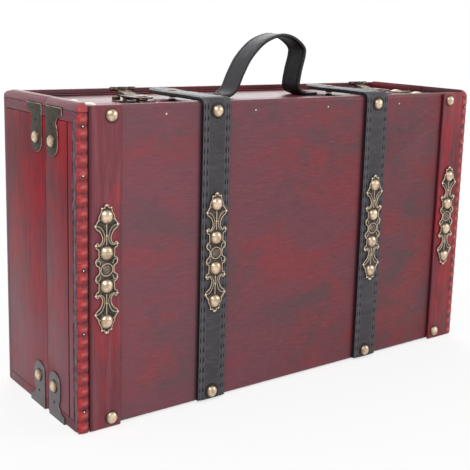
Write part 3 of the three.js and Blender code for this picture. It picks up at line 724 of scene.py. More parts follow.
def strip(name, line, side, width, thickness, columns, relief, tip=0.0):
    """A leather strip along a line. The relief lifts its face by a height for each place across."""
    rows = len(line) - 1
    run = run_of(line)
    piece = added(
        bpy.ops.mesh.primitive_grid_add, x_subdivisions=columns, y_subdivisions=rows, size=1.0)
    stations = frames_along(line, side)
    for vertex in piece.data.vertices:
        across = vertex.co.x * width
        spot, out = stations[round((vertex.co.y + 0.5) * rows)]
        share = tapered(tip, (0.5 - vertex.co.y) * run)
        vertex.co = spot + side * (across * share) + out * (relief(across) * share)
    modify(piece, "SOLIDIFY", thickness=thickness, offset=0.0, use_even_offset=True)
    bevel(piece, thickness * 0.24, 60, 3)
    smooth(piece, 60)
    return settle(piece, name)


def nail_head(radius, height):
    """A dome on z = 0 with a closed foot."""
    sphere = (radius ** 2 + height ** 2) / (2 * height)
    piece = added(
        bpy.ops.mesh.primitive_uv_sphere_add, segments=28, ring_count=24, radius=sphere,
        location=(0, 0, height - sphere))
    settle(piece, "nail_pattern")
    edit(piece, lambda: bpy.ops.mesh.bisect(
        plane_co=(0, 0, 0), plane_no=(0, 0, 1), use_fill=True, clear_inner=True))
    smooth(piece, 40)
    return piece


FACING = {
    "front": Matrix(((1, 0, 0), (0, 0, -1), (0, 1, 0))).to_4x4(),
    "left": Matrix(((0, 0, -1), (-1, 0, 0), (0, 1, 0))).to_4x4(),
    "right": Matrix(((0, 0, 1), (1, 0, 0), (0, 1, 0))).to_4x4(),
    "up": Matrix.Identity(4),
}


def nail_at(pattern, name, spot, facing, turn=0.0, finish="brass"):
    piece = copied(pattern, name, Matrix.Translation(spot) @ FACING[facing] @ Matrix.Rotation(turn, 4, "Z"))
    coat(piece, finish)
    return piece


def dome_at(radius, height, name, spot, facing, finish):
    """One nail head of its own size."""
    pattern = nail_head(radius, height)
    piece = nail_at(pattern, name, spot, facing, finish=finish)
    discard(pattern)
    return piece


def round_end(piece, end, reach):
    """Rounds a bar's end downwards, and a little inwards, over a reach before its place along y."""
    foot = min(vertex.co.z for vertex in piece.data.vertices)
    inner = min((vertex.co.x for vertex in piece.data.vertices), key=abs)
    toward = 1 if end > 0 else -1
    for angle in (20, 36, 50, 63, 76, 90):
        place = end - toward * reach * (1 - math.cos(math.radians(angle)))
        edit(piece, lambda: bpy.ops.mesh.bisect(plane_co=(0, place, 0), plane_no=(0, 1, 0)))
    for vertex in piece.data.vertices:
        gap = abs(vertex.co.y - end)
        if gap < reach:
            share = math.sqrt(max(0.02, 1 - ((reach - gap) / reach) ** 2))
            vertex.co.z = foot + (vertex.co.z - foot) * share
            vertex.co.x = inner + (vertex.co.x - inner) * (0.6 + 0.4 * share)
    smooth(piece, 40)


# Operators

class SUITCASE_OT_boards(bpy.types.Operator):
    """Boards, panels, slats and mouldings with eased edges and aged lacquer"""
    bl_idname = "suitcase.boards"
    bl_label = "Boards and panels"

    rim_lift = 0.001
    corner_radius = 0.0065
    # From the back panel's outer face to the rear mouldings' ends
    rim_inset = 0.0012
    # How near to its end a bar's or panel's corners are taken along, and how far apart they go there
    near = 0.001
    flare = 1.0006
    # Name, places before the rim and above the board, radius and finish of the lines at its foot; the slot is
    # a dark rod of painted shade
    rim_lines = (("bead", 0.0006, 0.0007, 0.0008, "top"), ("slot", -0.0003, 0.0019, 0.0005, "slot"))

    def execute(self, context):
        edge = sizes().board_edge
        for tray in TRAYS:
            for side in SIDES:
                eased(f"{tray}_end_{side}", edge, "lid_end" if tray == "lid" else "end")
                node = f"{tray}_moulding_{side}"
                bar = eased(node, edge, "moulding")
                low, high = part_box(node)
                if tray == "lid":
                    round_end(bar, low.y, high.z - low.z)
                else:
                    self.over_the_back(bar, high.y)
            for level in ("top", "bottom"):
                eased(f"{tray}_{level}_board", edge, "top")
        eased("lid_front_panel", edge, "panel")
        self.round_corners(eased("base_back_panel", edge, "back"))
        for side in SIDES:
            eased(f"slat_{side}", edge, "slat")
        for node in ("lid_lining", "base_lining"):
            frame["nodes"][node].material_slots[0].material = finish_named("cloth")
        self.rim_bead()
        return {"FINISHED"}

    def round_corners(self, panel):
        """Lifts the back panel's rim a little and rounds its two upper corners."""
        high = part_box("base_back_panel")[1]
        for vertex in panel.data.vertices:
            if vertex.co.z > high.z - self.near:
                vertex.co.z += self.rim_lift
        radius = self.corner_radius
        for hand in SIDES.values():
            hub = Vector((hand * (high.x - radius), 0, high.z + self.rim_lift - radius))
            for angle in (10, 30, 50, 70):
                a = math.radians(angle)
                away = Vector((hand * math.cos(a), 0, math.sin(a)))
                edit(panel, lambda: bpy.ops.mesh.bisect(
                    plane_co=hub + away * radius, plane_no=away, use_fill=True, clear_outer=True))
        smooth(panel, 30)

    def over_the_back(self, bar, end):
        """Carries a rear moulding over the back panel's edge and rounds it there."""
        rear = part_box("base_back_panel")[1].y - self.rim_inset
        for vertex in bar.data.vertices:
            if vertex.co.y > end - self.near:
                vertex.co.y += rear - end
                vertex.co.x *= self.flare
        round_end(bar, rear, self.corner_radius)

    def rim_bead(self):
        """A thin bead with a thin dark rod above it as painted shade of a slot, at the foot of the back
        panel's rim.
        """
        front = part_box("base_back_panel")[0].y
        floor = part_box("base_top_board")[1].z
        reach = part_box("base_moulding_right")[0].x
        for part, drop, rise, radius, finish in self.rim_lines:
            name = f"rim_{part}"
            ends = [(x, front - drop, floor + rise) for x in (-reach, reach)]
            piece = settle(bead_line(name, ends, radius), name)
            coat(piece, finish)
            go_with(piece, "base_back_panel")


class SUITCASE_OT_carved_strips(bpy.types.Operator):
    """Notched red strips at the ends of the front"""
    bl_idname = "suitcase.carved_strips"
    bl_label = "Carved strips"

    columns = 18
    rows_per_notch = 10
    # Height, and share of the width, of the rounding towards the outer and the inner edge
    outer_rounding = (0.0021, 0.4)
    inner_rounding = (0.0011, 0.28)
    # Part of the depth that the crowned face leaves free
    hollow = 0.0008
    top_lift = 0.0003

    def execute(self, context):
        for side, hand in SIDES.items():
            node = f"carved_strip_{side}"
            low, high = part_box(node)
            outer, inner = (low.x, high.x) if hand < 0 else (high.x, low.x)
            tall = high.z - low.z
            beads = round(tall / sizes().carved_pitch)
            pitch = tall / beads
            piece = added(
                bpy.ops.mesh.primitive_grid_add, x_subdivisions=self.columns,
                y_subdivisions=beads * self.rows_per_notch, size=1.0)
            (outer_drop, outer_share), (inner_drop, inner_share) = self.outer_rounding, self.inner_rounding
            for vertex in piece.data.vertices:
                across = vertex.co.x + 0.5
                height = (vertex.co.y + 0.5) * tall
                phase = abs(math.sin(math.pi * height / pitch))
                scoop = (1 - phase) * sizes().carved_depth * (1 - 0.45 * across)
                drop = outer_drop * max(0.0, 1 - across / outer_share) ** 2
                drop += inner_drop * max(0.0, (across - 1 + inner_share) / inner_share) ** 2
                vertex.co = Vector((
                    outer + (inner - outer) * across, low.y + scoop + drop,
                    low.z + height + (self.top_lift if vertex.co.y > 0.499 else 0)))
            modify(piece, "SOLIDIFY", thickness=high.y - low.y - self.hollow, offset=float(hand))
            outward(piece)
            smooth(piece, 60)
            settle(piece, f"{node}_scalloped")
            for vertex in piece.data.vertices:
                vertex.co.y = min(vertex.co.y, high.y)
            coat(piece, "carved")
            stand_for(piece, node)
        return {"FINISHED"}


def strap_line(side):
    """The straps' middle line: up the front, over the edge and back to the tip."""
    low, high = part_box(f"strap_{side}")
    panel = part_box("lid_front_panel")[1]
    bend = sizes().strap_bend
    half = sizes().strap_thickness / 2
    x = (low.x + high.x) / 2
    face = low.y + half
    top = panel.z + STRAP_GAP + half
    line = [Vector((x, face, low.z)), Vector((x, face, top - bend))]
    for i in range(1, 13):
        angle = math.pi / 2 * i / 12
        line.append(Vector((x, face + bend * (1 - math.cos(angle)), top - bend * (1 - math.sin(angle)))))
    seam = (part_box("lid_top_board")[1].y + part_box("base_top_board")[0].y) / 2
    # Flat behind the bend, a little higher half way to the seam, and lifted at the tip
    back = flowing_line([Vector((x, y, top + rise)) for y, rise in (
        (face + bend, 0.0), (face + 0.0119, 0.0), ((panel.y + seam) / 2, 0.0002), (seam + 0.011, 0.0),
        (seam + 0.037, 0.0009))], 60)
    return line + back[1:]


class SUITCASE_OT_straps(bpy.types.Operator):
    """Two-layer leather straps with four rows of stitches and a press stud"""
    bl_idname = "suitcase.straps"
    bl_label = "Straps"

    rows_mm = (8.8, 11.5)
    # Place of the upper layer's edge from the middle, width of its slope, and height, in millimetres
    layer_mm = (10.6, 0.8, 0.4)
    # Depth and width of the stitch grooves, height of the padding, and what the relief gives back
    groove_mm = (0.34, 0.6)
    padding_mm = 0.2
    relief_drop_mm = 0.35
    tip = 0.013
    steps, columns = 240, 62
    stitch_sink = 0.00015
    stitch_turn = 0.09
    # Radius and height of the studs' caps, height of their posts' domes, radius of their barrels
    cap = (0.006, 0.0015)
    cap_sink = 0.0002
    post_height = 0.0012
    barrel_radius = 0.003
    barrel_lift = 0.0003

    def relief(self, across):
        """Height of the upper layer, its stitch grooves and its padding, at a place across."""
        edge, slope, height = self.layer_mm
        depth, wide = self.groove_mm
        aside = abs(across) / MM
        step = min(1.0, max(0.0, (edge - aside) / slope))
        layer = height * step * step * (3 - 2 * step)
        groove = sum(depth * math.exp(-((aside - row) / wide) ** 2) for row in self.rows_mm)
        padding = self.padding_mm * max(0.0, 1 - (aside / self.rows_mm[0]) ** 2)
        return (layer - groove + padding - self.relief_drop_mm) * MM

    def stitch(self):
        radius = sizes().stitch_radius
        piece = added(bpy.ops.mesh.primitive_ico_sphere_add, subdivisions=1, radius=radius)
        piece.scale = (1.0, (sizes().stitch_pitch * 0.33) / radius, 0.8)
        settle(piece, "stitch_pattern")
        smooth(piece, 80)
        return piece

    def execute(self, context):
        pattern = self.stitch()
        shake = random.Random(sizes().stitch_seed)
        across = Vector((1, 0, 0))
        thick = sizes().strap_thickness
        for side in SIDES:
            node = f"strap_{side}"
            low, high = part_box(node)
            width = high.x - low.x
            rough_line = strap_line(side)
            line = spaced(rough_line, self.steps)
            run = run_of(line)
            piece = strip(f"{node}_stitched", line, across, width, thick - RELIEF_SPACE, self.columns,
                          self.relief, self.tip)
            pins = [sum(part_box(f"strap_nail_{end}_{side}"), Vector()) / 2 for end in ("top", "bottom")]
            coat(piece, leather(
                f"strap_leather_{side}", colours().leather, 0.42, self.rows_mm, width, run, pins))
            stand_for(piece, node)
            count = round(run / sizes().stitch_pitch)
            stations = frames_along(spaced(rough_line, count * 2), across)
            stitches = []
            for i in range(1, count * 2, 2):
                spot, out = stations[i]
                along = (stations[i + 1][0] - stations[i - 1][0]).normalized()
                turn = Matrix((across, along, out)).transposed().to_4x4()
                if run * (1 - i / (count * 2)) < self.tip:
                    continue
                for row in self.rows_mm:
                    for hand in SIDES.values():
                        lift = self.relief(row * MM) + thick / 2 - self.stitch_sink
                        place = spot + across * (hand * row * MM) + out * lift
                        sway = Matrix.Rotation(shake.uniform(-self.stitch_turn, self.stitch_turn), 4, "Z")
                        stitches.append(copied(
                            pattern, "stitch", Matrix.Translation(place) @ turn @ sway))
            rows = joined(f"{node}_thread", stitches)
            coat(rows, "thread")
            go_with(rows, node)
            self.press_stud(side, node)
        discard(pattern)
        return {"FINISHED"}

    def press_stud(self, side, node):
        """A cap on the strap, the turned post on the base, and a barrel under the strap."""
        stud = f"strap_stud_{side}"
        low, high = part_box(stud)
        x, y, _ = (low + high) / 2
        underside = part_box("lid_front_panel")[1].z + STRAP_GAP
        top = underside + sizes().strap_thickness
        foot = underside - RELIEF_SPACE
        spot = Vector((x, y, top - self.cap_sink))
        cap = dome_at(*self.cap, f"{node}_stud_cap", spot, "up", "latch")
        go_with(cap, node)
        spot = Vector((x, y, low.z))
        post = dome_at((high.x - low.x) / 2, self.post_height, f"{stud}_turned", spot, "up", "rim")
        stand_for(post, stud)
        barrel = settle(added(
            bpy.ops.mesh.primitive_cylinder_add, vertices=32, radius=self.barrel_radius,
            depth=foot - high.z, location=(x, y, (foot + high.z) / 2 + self.barrel_lift)),
            f"{node}_stud_barrel")
        bevel(barrel, 0.0002)
        smooth(barrel)
        coat(barrel, "rim")
        go_with(barrel, node)


class SUITCASE_OT_handle(bpy.types.Operator):
    """Leather handle with flat riveted feet"""
    bl_idname = "suitcase.handle"
    bl_label = "Handle"

    # The arch leans a little past the right foot
    arch_shares = (
        (0.01, 0.1), (0.1, 0.35), (0.22, 0.62), (0.42, 0.87), (0.66, 0.985), (0.86, 0.95), (1.02, 0.8),
        (1.04, 0.66), (0.985, 0.36), (0.97, 0.1))
    span = 0.076
    steps, columns = 200, 44
    # Flat run of each foot before its leg, and from its end to its rivet
    foot_run = 0.008
    rivet_in = 0.008
    # Height, place from the edge and width of the welt and the groove, in millimetres
    welt_mm, groove_mm = (0.35, 1.6, 0.7), (0.35, 3.4, 0.5)
    relief_drop_mm = 0.3
    # Radius and height of the rivets' heads, and how far they are sunk
    rivet = (0.004, 0.0013)
    rivet_sink = 0.0003

    def execute(self, context):
        low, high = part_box("handle")
        thick = sizes().handle_thickness
        flap = sizes().handle_flap
        left = low.x + flap
        right = left + self.span
        base, rise = low.z + thick / 2, high.z - low.z - thick
        middle = (low.y + high.y) / 2
        width = high.y - low.y
        half = width / 2 / MM

        def relief(across):
            aside = abs(across) / MM
            welt, groove = (height * math.exp(-((aside - (half - place)) / wide) ** 2)
                            for height, place, wide in (self.welt_mm, self.groove_mm))
            return (welt - groove - self.relief_drop_mm) * MM

        points = [(left - flap, base), (left - self.foot_run, base)]
        points += [(left + self.span * x, base + rise * z / 0.985) for x, z in self.arch_shares]
        points += [(right + self.foot_run, base), (right + flap, base)]
        line = flowing_line([Vector((x, middle, z)) for x, z in points], self.steps)
        for spot in line:
            spot.z = max(spot.z, base)
        piece = strip("handle_strip", line, Vector((0, -1, 0)), width, thick - RELIEF_SPACE, self.columns,
                      relief)
        under = [0.3 * c for c in colours().handle]
        coat(piece, leather("handle_leather", colours().handle, 0.45, (), width, run_of(line)),
             leather("handle_underside", under, 0.2, (), width, run_of(line)))
        inside = Vector((left + self.span / 2, middle, base + rise * 0.4))
        for polygon in piece.data.polygons:
            polygon.material_index = int(polygon.normal.dot(polygon.center - inside) < 0)
        stand_for(piece, "handle")
        for side, x in (("left", left - flap + self.rivet_in), ("right", right + flap - self.rivet_in)):
            spot = Vector((x, middle, low.z + thick - self.rivet_sink))
            rivet = dome_at(*self.rivet, f"handle_rivet_{side}", spot, "up", "bronze")
            go_with(rivet, "handle")
        return {"FINISHED"}


class SUITCASE_OT_nails(bpy.types.Operator):
    """Domed brass nails on the slats and straps, and the small tacks of the front"""
    bl_idname = "suitcase.nails"
    bl_label = "Nails and tacks"

    panel_tack_shares = (0.178, 0.380, 0.567, 0.776)
    strip_tack_shares = (0.072, 0.324, 0.524, 0.812, 0.959)
    # From the front panel's top to its tacks
    tack_drop = 0.0085
    # How far the heads' feet are sunk into what they hold
    nail_sink, tack_sink = 0.0003, 0.0002
    # Radius and height of the tacks' heads and of the dark rings of painted shade under them, as shares of
    # the tacks' radius
    head_shares, socket_shares = (1.0, 0.5), (1.9, 0.25)

    def execute(self, context):
        pattern = nail_head(sizes().nail_radius, sizes().nail_height)
        turn = 0.0
        for kind in ("slat", "strap"):
            for end in ("top", "bottom"):
                for side in SIDES:
                    node = f"{kind}_nail_{end}_{side}"
                    low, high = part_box(node)
                    spot = Vector(((low.x + high.x) / 2, high.y + self.nail_sink, (low.z + high.z) / 2))
                    turn += 1.0
                    stand_for(nail_at(pattern, f"{node}_polished", spot, "front", turn), node)
        discard(pattern)
        self.tacks()
        return {"FINISHED"}

    def tacks(self):
        """Small bright tacks near the top of the front panel and in the notched strips, those in the strips
        on rings of painted shade.
        """
        head, socket = (nail_head(*(sizes().tack_radius * share for share in shares))
                        for shares in (self.head_shares, self.socket_shares))
        low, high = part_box("lid_front_panel")
        spots = [Vector((low.x + share * (high.x - low.x), low.y, high.z - self.tack_drop))
                 for share in self.panel_tack_shares]
        self.row("front_tacks", head, spots, "tack", "lid_front_panel")
        for side in SIDES:
            node = f"carved_strip_{side}"
            low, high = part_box(node)
            spots = [Vector((
                (low.x + high.x) / 2, low.y + self.tack_sink, low.z + share * (high.z - low.z)))
                for share in self.strip_tack_shares]
            self.row(f"carved_tacks_{side}", head, spots, "tack", node)
            # A dark ring of painted shade under each tack of the strip
            self.row(f"carved_sockets_{side}", socket, spots, "slot", node, 0)
        discard(head, socket)

    def row(self, name, pattern, spots, finish, node, turn=1):
        """One piece of like heads, each turned a little further."""
        heads = [nail_at(pattern, name, spot, "front", i * turn) for i, spot in enumerate(spots)]
        piece = joined(name, heads)
        coat(piece, finish)
        go_with(piece, node)


class SUITCASE_OT_brackets(bpy.types.Operator):
    """Corner brackets of dark sheet, bent round the edges of the case, with domed nails"""
    bl_idname = "suitcase.brackets"
    bl_label = "Corner brackets"

    # Rise of the nails over the brackets' outer faces in the bracket solids
    nail_rise = 0.0033
    # Places of the nails and holes: from the seam, along the end's flange, along the flat one
    from_seam = 0.010
    nail_along = 0.0263
    hole_along = 0.013
    top_nail_along = 0.031
    # Radius and height of the dark dome of painted shade in each hole
    hole = (0.0014, 0.0002)
    edge_rounding = 0.00016

    def flange(self):
        """Outlines of one flange and its hole: x from the seam, y from the bend.

        They are written in millimetres: a straight foot, two hollows and the tongue's round end.
        """
        def curve(a, b, c):
            return [tuple(p * (1 - t) ** 2 + q * 2 * t * (1 - t) + r * t * t for p, q, r in zip(a, b, c))
                    for t in (i / 8 for i in range(1, 9))]
        points = [(0, 0), (27, 0), (27, 6)]
        points += curve((27, 6), (20, 6), (16.5, 13))
        points += curve((16.5, 13), (20, 13), (20, 28))
        points += [(10 + 10 * math.cos(a), 28 + 10 * math.sin(a))
                   for a in (math.pi * i / 18 for i in range(1, 19))]
        hole = [(10 + 1.2 * math.cos(a), 13 + 1.2 * math.sin(a))
                for a in (math.tau * i / 12 for i in range(12))]
        return [[(x * MM, y * MM) for x, y in ring] for ring in (points, hole)]

    def execute(self, context):
        pattern = flat_sheet("flange_pattern", self.flange(), sizes().sheet, self.edge_rounding)
        smooth(pattern, 40)
        coat(pattern, "bracket", "bracket_rim")
        for polygon in pattern.data.polygons:
            polygon.material_index = 0 if abs(polygon.normal.z) > 0.97 else 1
        nail = nail_head(sizes().nail_radius, sizes().nail_height)
        flatter = nail_head(sizes().nail_radius, sizes().nail_height * 0.5)
        for tray, away in TRAYS.items():
            for level, up in (("bottom", 1), ("top", -1)):
                for side, hand in SIDES.items():
                    self.bracket(
                        pattern, nail, flatter, f"{tray}_bracket_{level}_{side}", away, up, hand)
        discard(pattern, nail, flatter)
        return {"FINISHED"}

    def bracket(self, pattern, nail, flatter, node, away, up, hand):
        """One bracket: a flange on the end's face and a flat one, which share the bent corner."""
        low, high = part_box(node)
        sheet = sizes().sheet
        seam = low.y if away > 0 else high.y
        outer = high.x - self.nail_rise if hand > 0 else low.x + self.nail_rise
        level = low.z if up > 0 else high.z - self.nail_rise
        end = Matrix((
            (0, 0, hand, outer - hand * sheet), (away, 0, 0, seam), (0, up, 0, level), (0, 0, 0, 1)))
        flat = Matrix((
            (0, -hand, 0, outer), (away, 0, 0, seam), (0, 0, -up, level + up * sheet), (0, 0, 0, 1)))
        piece = joined(f"{node}_sheet", [copied(pattern, "flange", place) for place in (end, flat)])
        edit(piece, lambda: bpy.ops.mesh.normals_make_consistent(inside=False))
        stand_for(piece, node)
        facing = "right" if hand > 0 else "left"
        across = seam + away * self.from_seam
        spot = Vector((outer, across, level + up * self.nail_along))
        head = nail_at(nail, f"{node}_nail", spot, facing, 0.7 * hand + away)
        go_with(head, node)
        spot = Vector((outer, across, level + up * self.hole_along))
        # Dark dome of painted shade in the hole
        hole = dome_at(*self.hole, f"{node}_hole", spot, facing, "slot")
        go_with(hole, node)
        if up < 0:
            spot = Vector((outer - hand * self.top_nail_along, across, level))
            head = nail_at(flatter, f"{node}_top_nail", spot, "up", 0.4 * hand, "rim")
            go_with(head, node)


class SUITCASE_OT_filigree(bpy.types.Operator):
    """Cast plates with raised scrolled rims, beads, a medallion and four domed nails each"""
    bl_idname = "suitcase.filigree"
    bl_label = "Filigree plates"

    height = 0.0011
    edge_rounding = 0.00012
    # Shares of the plate's size at the rim's middle, and of the rim's radius in scrolls and ribs
    rim_shares = (0.965, 0.99)
    scroll_share, rib_share = 0.72, 0.75
    ring_radii = (0.0049, 0.0047)
    boss_radius = 0.0036
    boss_shares = (1, 0.95, 0.3)
    quarter_shares = (
        (0.1, 1), (0.17, 0.97), (0.19, 0.95), (0.34, 0.953), (0.44, 0.925), (0.5, 0.88), (0.66, 0.83),
        (0.74, 0.77), (0.94, 0.715), (1, 0.68), (0.92, 0.645), (0.62, 0.6), (0.42, 0.53), (0.37, 0.48),
        (0.5, 0.415), (0.72, 0.395), (0.8, 0.425), (0.95, 0.4), (0.93, 0.35), (0.74, 0.325), (0.7, 0.26),
        (0.72, 0.19), (0.9, 0.175), (0.97, 0.13), (0.9, 0.085), (0.7, 0.06), (0.64, 0))
    scroll_shares = (
        ((0.93, 0.68), (0.6, 0.665), (0.36, 0.615), (0.22, 0.55), (0.16, 0.5)),
        ((0.16, 0.5), (0.2, 0.45), (0.34, 0.4), (0.6, 0.375), (0.88, 0.385)),
        ((0.45, 0.79), (0.74, 0.745), (0.93, 0.69)),
        ((0.52, 0.085), (0.66, 0.15), (0.86, 0.15), (0.9, 0.11), (0.74, 0.07), (0.55, 0.045)),
    )
    rib_shares = (0.7, 0.6, 0.5, 0.38)
    # Place across and along, and radius in millimetres
    bead_shares = ((0.96, 0.68, 1.15), (0.92, 0.385, 1.15), (0.4, 0.938, 0.9), (0.93, 0.135, 0.7))
    middle_bead_shares = ((0, 0.98, 1.15), (0, -0.98, 1.15), (0, 0.52, 0.9), (0, -0.52, 0.9))
    nail_heights_mm = (40.5, 12.7, -12.7, -40.5)
    nail_share = 1.07

    def plate(self, wide, tall):
        """One plate lying on z = 0, from half its width and half its length."""
        height = self.height
        quarter = [(x * wide, y * tall) for x, y in self.quarter_shares]
        outline = quarter[::-1] + [(-x, y) for x, y in quarter[:-1]]
        outline += [(-x, -y) for x, y in quarter[::-1][1:]] + [(x, -y) for x, y in quarter[:-1]]
        corners = [(flip, turn) for flip in (-1, 1) for turn in (-1, 1)]
        rim = sizes().rim_radius
        field = flat_sheet("plate_field", [outline], height, self.edge_rounding, True)
        coat(field, "bronze")
        shares = self.rim_shares
        points = [(x * shares[0], y * shares[1], height) for x, y in outline]
        raised = [bead_line("rim", points, rim, True)]
        for flip, turn in corners:
            for scroll in self.scroll_shares:
                points = [(x * wide * flip, y * tall * turn, height) for x, y in scroll]
                raised.append(bead_line("scroll", points, rim * self.scroll_share))
        for turn in (-1, 1):
            points = [(0, y * tall * turn, height) for y in self.rib_shares]
            raised.append(bead_line("rib", points, rim * self.rib_share))
        wide_ring, tall_ring = self.ring_radii
        points = [(math.cos(a) * wide_ring, math.sin(a) * tall_ring, height)
                  for a in (math.tau * i / 16 for i in range(16))]
        raised.append(bead_line("ring", points, rim, True))
        beads = [(x * flip, y * turn, radius) for x, y, radius in self.bead_shares
                 for flip, turn in corners]
        for x, y, radius in (*beads, *self.middle_bead_shares):
            bead = settle(added(
                bpy.ops.mesh.primitive_ico_sphere_add, subdivisions=2, radius=radius * MM,
                location=(x * wide, y * tall, height)), "bead")
            smooth(bead, 80)
            raised.append(bead)
        for part in raised:
            coat(part, "rim")
        boss = added(
            bpy.ops.mesh.primitive_uv_sphere_add, segments=24, ring_count=12, radius=self.boss_radius,
            location=(0, 0, height))
        boss.scale = self.boss_shares
        settle(boss, "boss")
        smooth(boss, 80)
        coat(boss, "medallion")
        return joined("plate_pattern", [field, *raised, boss])

    def execute(self, context):
        low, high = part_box("filigree_slat_left")
        pattern = self.plate((high.x - low.x) / 2, (high.z - low.z) / 2)
        nail = nail_head(sizes().nail_radius * self.nail_share, sizes().nail_height)
        for kind in ("slat", "strap"):
            for side in SIDES:
                node = f"filigree_{kind}_{side}"
                low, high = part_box(node)
                centre = Vector(((low.x + high.x) / 2, high.y, (low.z + high.z) / 2))
                piece = copied(pattern, f"{node}_cast", Matrix.Translation(centre) @ FACING["front"])
                stand_for(piece, node)
                face = centre + Vector((0, -self.height, 0))
                for i, z in enumerate(self.nail_heights_mm):
                    spot = face + Vector((0, 0, z * MM))
                    head = nail_at(nail, f"{node}_nail_{i}", spot, "front", i + len(node))
                    go_with(head, node)
        discard(pattern, nail)
        return {"FINISHED"}


class SUITCASE_OT_latches(bpy.types.Operator):
    """Toggle latches and hinges in dark bronze with rubbed edges"""
    bl_idname = "suitcase.latches"
    bl_label = "Latches and hinges"

    # Shift along the lever's tail, radius and width: a thin bar and three knuckles
    thumb_rolls = (
        (0.0003, 0.0008, 0.0226), (-0.0082, 0.0018, 0.0062), (0.0, 0.0018, 0.0072), (0.0086, 0.0018, 0.0056))
    # From the ends of the lever, the base and the catch to their knuckles' middle, along y and z
    tail_gap, base_gap, catch_gap = (-0.0017, -0.0016), (-0.0012, 0.0017), (0.0008, 0.0014)
    # Shift of the base's knuckles, and radius and width of the base's and the catch's
    base_shift = 0.0077
    base_roll, catch_roll = (0.0017, 0.0062), (0.0013, 0.014)

    def execute(self, context):
        for side in SIDES:
            for part in ("base", "catch", "lever", "loop"):
                eased(f"latch_{part}_{side}", sizes().metal_edge, "latch")
            self.rolls(side)
            for tray in TRAYS:
                node = frame["nodes"][f"hinge_leaf_{tray}_{side}"]
                node.material_slots[0].material = finish_named("bronze")
        return {"FINISHED"}

    def rolls(self, side):
        """Rolled knuckles at the ends of the plates and at the lever's tail."""
        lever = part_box(f"latch_lever_{side}")
        middle = (lever[0].x + lever[1].x) / 2
        for shift, *size in self.thumb_rolls:
            self.roll(f"latch_lever_{side}", middle + shift, (1, 1), self.tail_gap, *size)
        for hand in SIDES.values():
            x = middle + hand * self.base_shift
            self.roll(f"latch_base_{side}", x, (1, 0), self.base_gap, *self.base_roll)
        self.roll(f"latch_catch_{side}", middle, (0, 0), self.catch_gap, *self.catch_roll)

    def roll(self, node, x, ends, gap, radius, width):
        """A round knuckle along x, at a gap from the low (0) or high (1) ends of a part in y and z."""
        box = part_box(node)
        y, z = box[ends[0]].y + gap[0], box[ends[1]].z + gap[1]
        hand = "outer" if x * (box[0].x + box[1].x) > 0 else "inner"
        name = f"{node}_roll_{hand}_{round(abs(x) / MM)}_{round(width / MM)}"
        piece = settle(added(
            bpy.ops.mesh.primitive_cylinder_add, vertices=24, radius=radius, depth=width,
            location=(x, y, z), rotation=(0, math.pi / 2, 0)), name)
        bevel(piece, 0.0003)
        smooth(piece)
        coat(piece, "latch")
        go_with(piece, node)


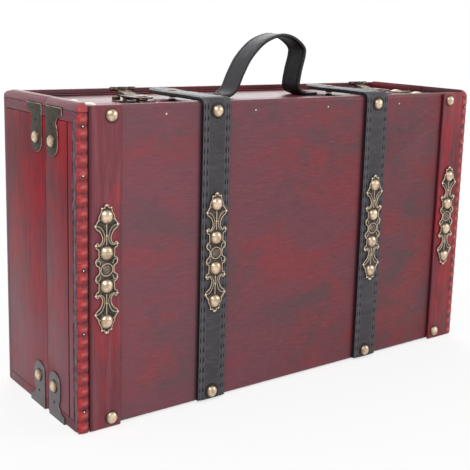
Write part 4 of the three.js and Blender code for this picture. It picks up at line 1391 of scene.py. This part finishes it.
class SUITCASE_OT_stage(bpy.types.Operator):
    """Plain floor, soft studio light and the photograph's camera"""
    bl_idname = "suitcase.stage"
    bl_label = "Stage"

    # Name, place, height aimed at, size, power and share in reflections of each lamp
    lamps = (
        ("key_light", (-1.1, -1.4, 1.8), 0.12, 0.5, 34.0, 1.0),
        ("fill_light", (1.7, -1.2, 0.9), 0.12, 0.8, 6.0, 1.0),
        ("back_light", (0.9, 1.5, 1.1), 0.22, 1.4, 12.0, 0.12),
    )

    def execute(self, context):
        self.floor()
        self.world()
        for settings in self.lamps:
            self.lamp(*settings)
        self.camera()
        return {"FINISHED"}

    def floor(self):
        """White floor that keeps the object's shadow, partly see-through close to the object."""
        floor = added(bpy.ops.mesh.primitive_plane_add, size=30.0, location=(0, 0, 0))
        floor.name = "studio_floor"
        finish = Finish("studio_floor", "floor", rough=1.0, shine=0.0)
        seen = finish.node("ShaderNodeLightPath", output="Is Camera Ray")
        shadow = finish.node("ShaderNodeLightPath", output="Is Shadow Ray")
        x, y, _ = finish.parts(finish.place(MM))
        near = 1 - ((x * x + y * y) ** 0.5).ramp(0.3, 1.0)
        clear = (seen * (1 - near * 0.3)).most(shadow)
        blend = finish.node("ShaderNodeMixShader", None, {
            0: clear, 1: Wire(finish, finish.shader.outputs[0]), 2: finish.node("ShaderNodeBsdfTransparent")})
        finish.tree.links.new(blend.socket, finish.surface)
        coat(floor, finish.done())

    def world(self):
        """Soft light all round, and plain white for rays of the camera, gloss and glass."""
        world = bpy.data.worlds.new("studio_world")
        bpy.context.scene.world = world
        world.use_nodes = True
        nodes, links = world.node_tree.nodes, world.node_tree.links
        nodes.clear()
        blend = nodes.new("ShaderNodeMixShader")
        for socket, strength in ((1, 0.5), (2, 1.0)):
            light = nodes.new("ShaderNodeBackground")
            light.inputs[0].default_value = (1.0, 1.0, 1.0, 1.0)
            light.inputs[1].default_value = strength
            links.new(light.outputs[0], blend.inputs[socket])
        rays = nodes.new("ShaderNodeLightPath")
        seen = rays.outputs["Is Camera Ray"]
        for ray in ("Is Glossy Ray", "Is Transmission Ray"):
            most = nodes.new("ShaderNodeMath")
            most.operation = "MAXIMUM"
            links.new(seen, most.inputs[0])
            links.new(rays.outputs[ray], most.inputs[1])
            seen = most.outputs[0]
        links.new(seen, blend.inputs[0])
        links.new(blend.outputs[0], nodes.new("ShaderNodeOutputWorld").inputs[0])

    def lamp(self, name, place, aim, size, power, shine):
        data = bpy.data.lights.new(name, "AREA")
        data.shape = "DISK"
        data.size = size
        data.energy = power
        data.specular_factor = shine
        lamp = linked(name, data)
        lamp.location = place
        lamp.rotation_euler = (Vector((0, 0, aim)) - Vector(place)).to_track_quat("-Z", "Y").to_euler()

    def camera(self):
        data = bpy.data.cameras.new("photo_camera")
        data.sensor_width = 36.0
        data.lens = 68.22
        data.shift_x = -0.0168
        data.shift_y = -0.0964
        data.clip_start = 0.01
        camera = linked("photo_camera", data)
        camera.location = (-0.4965, -0.6389, 0.312)
        camera.rotation_euler = [math.radians(a) for a in (79.3725, -1.6166, -36.7457)]
        bpy.context.scene.camera = camera
        bpy.context.scene.view_settings.view_transform = "Standard"


class SUITCASE_PT_panel(bpy.types.Panel):
    """Lists the steps that dress the case"""
    bl_label = "Wooden suitcase box"
    bl_idname = "SUITCASE_PT_panel"
    bl_space_type = "VIEW_3D"
    bl_region_type = "UI"
    bl_category = "Suitcase"

    def draw(self, context):
        for step in STEPS:
            self.layout.operator(step.bl_idname)
        for group in (context.scene.suitcase_sizes, context.scene.suitcase_colours):
            box = self.layout.box()
            for name in group.bl_rna.properties.keys():
                if name not in ("rna_type", "name"):
                    box.prop(group, name)


STEPS = (
    SUITCASE_OT_boards, SUITCASE_OT_carved_strips, SUITCASE_OT_straps, SUITCASE_OT_handle,
    SUITCASE_OT_nails, SUITCASE_OT_brackets, SUITCASE_OT_filigree, SUITCASE_OT_latches,
    SUITCASE_OT_stage,
)
CLASSES = (SuitcaseSizes, SuitcaseColours, *STEPS, SUITCASE_PT_panel)


def register():
    for cls in CLASSES:
        bpy.utils.register_class(cls)
    bpy.types.Scene.suitcase_sizes = PointerProperty(type=SuitcaseSizes)
    bpy.types.Scene.suitcase_colours = PointerProperty(type=SuitcaseColours)


def unregister():
    del bpy.types.Scene.suitcase_colours
    del bpy.types.Scene.suitcase_sizes
    for cls in reversed(CLASSES):
        bpy.utils.unregister_class(cls)


def main():
    register()
    for step in STEPS:
        group, name = step.bl_idname.split(".")
        getattr(getattr(bpy.ops, group), name)()


if __name__ == "__main__":
    main()
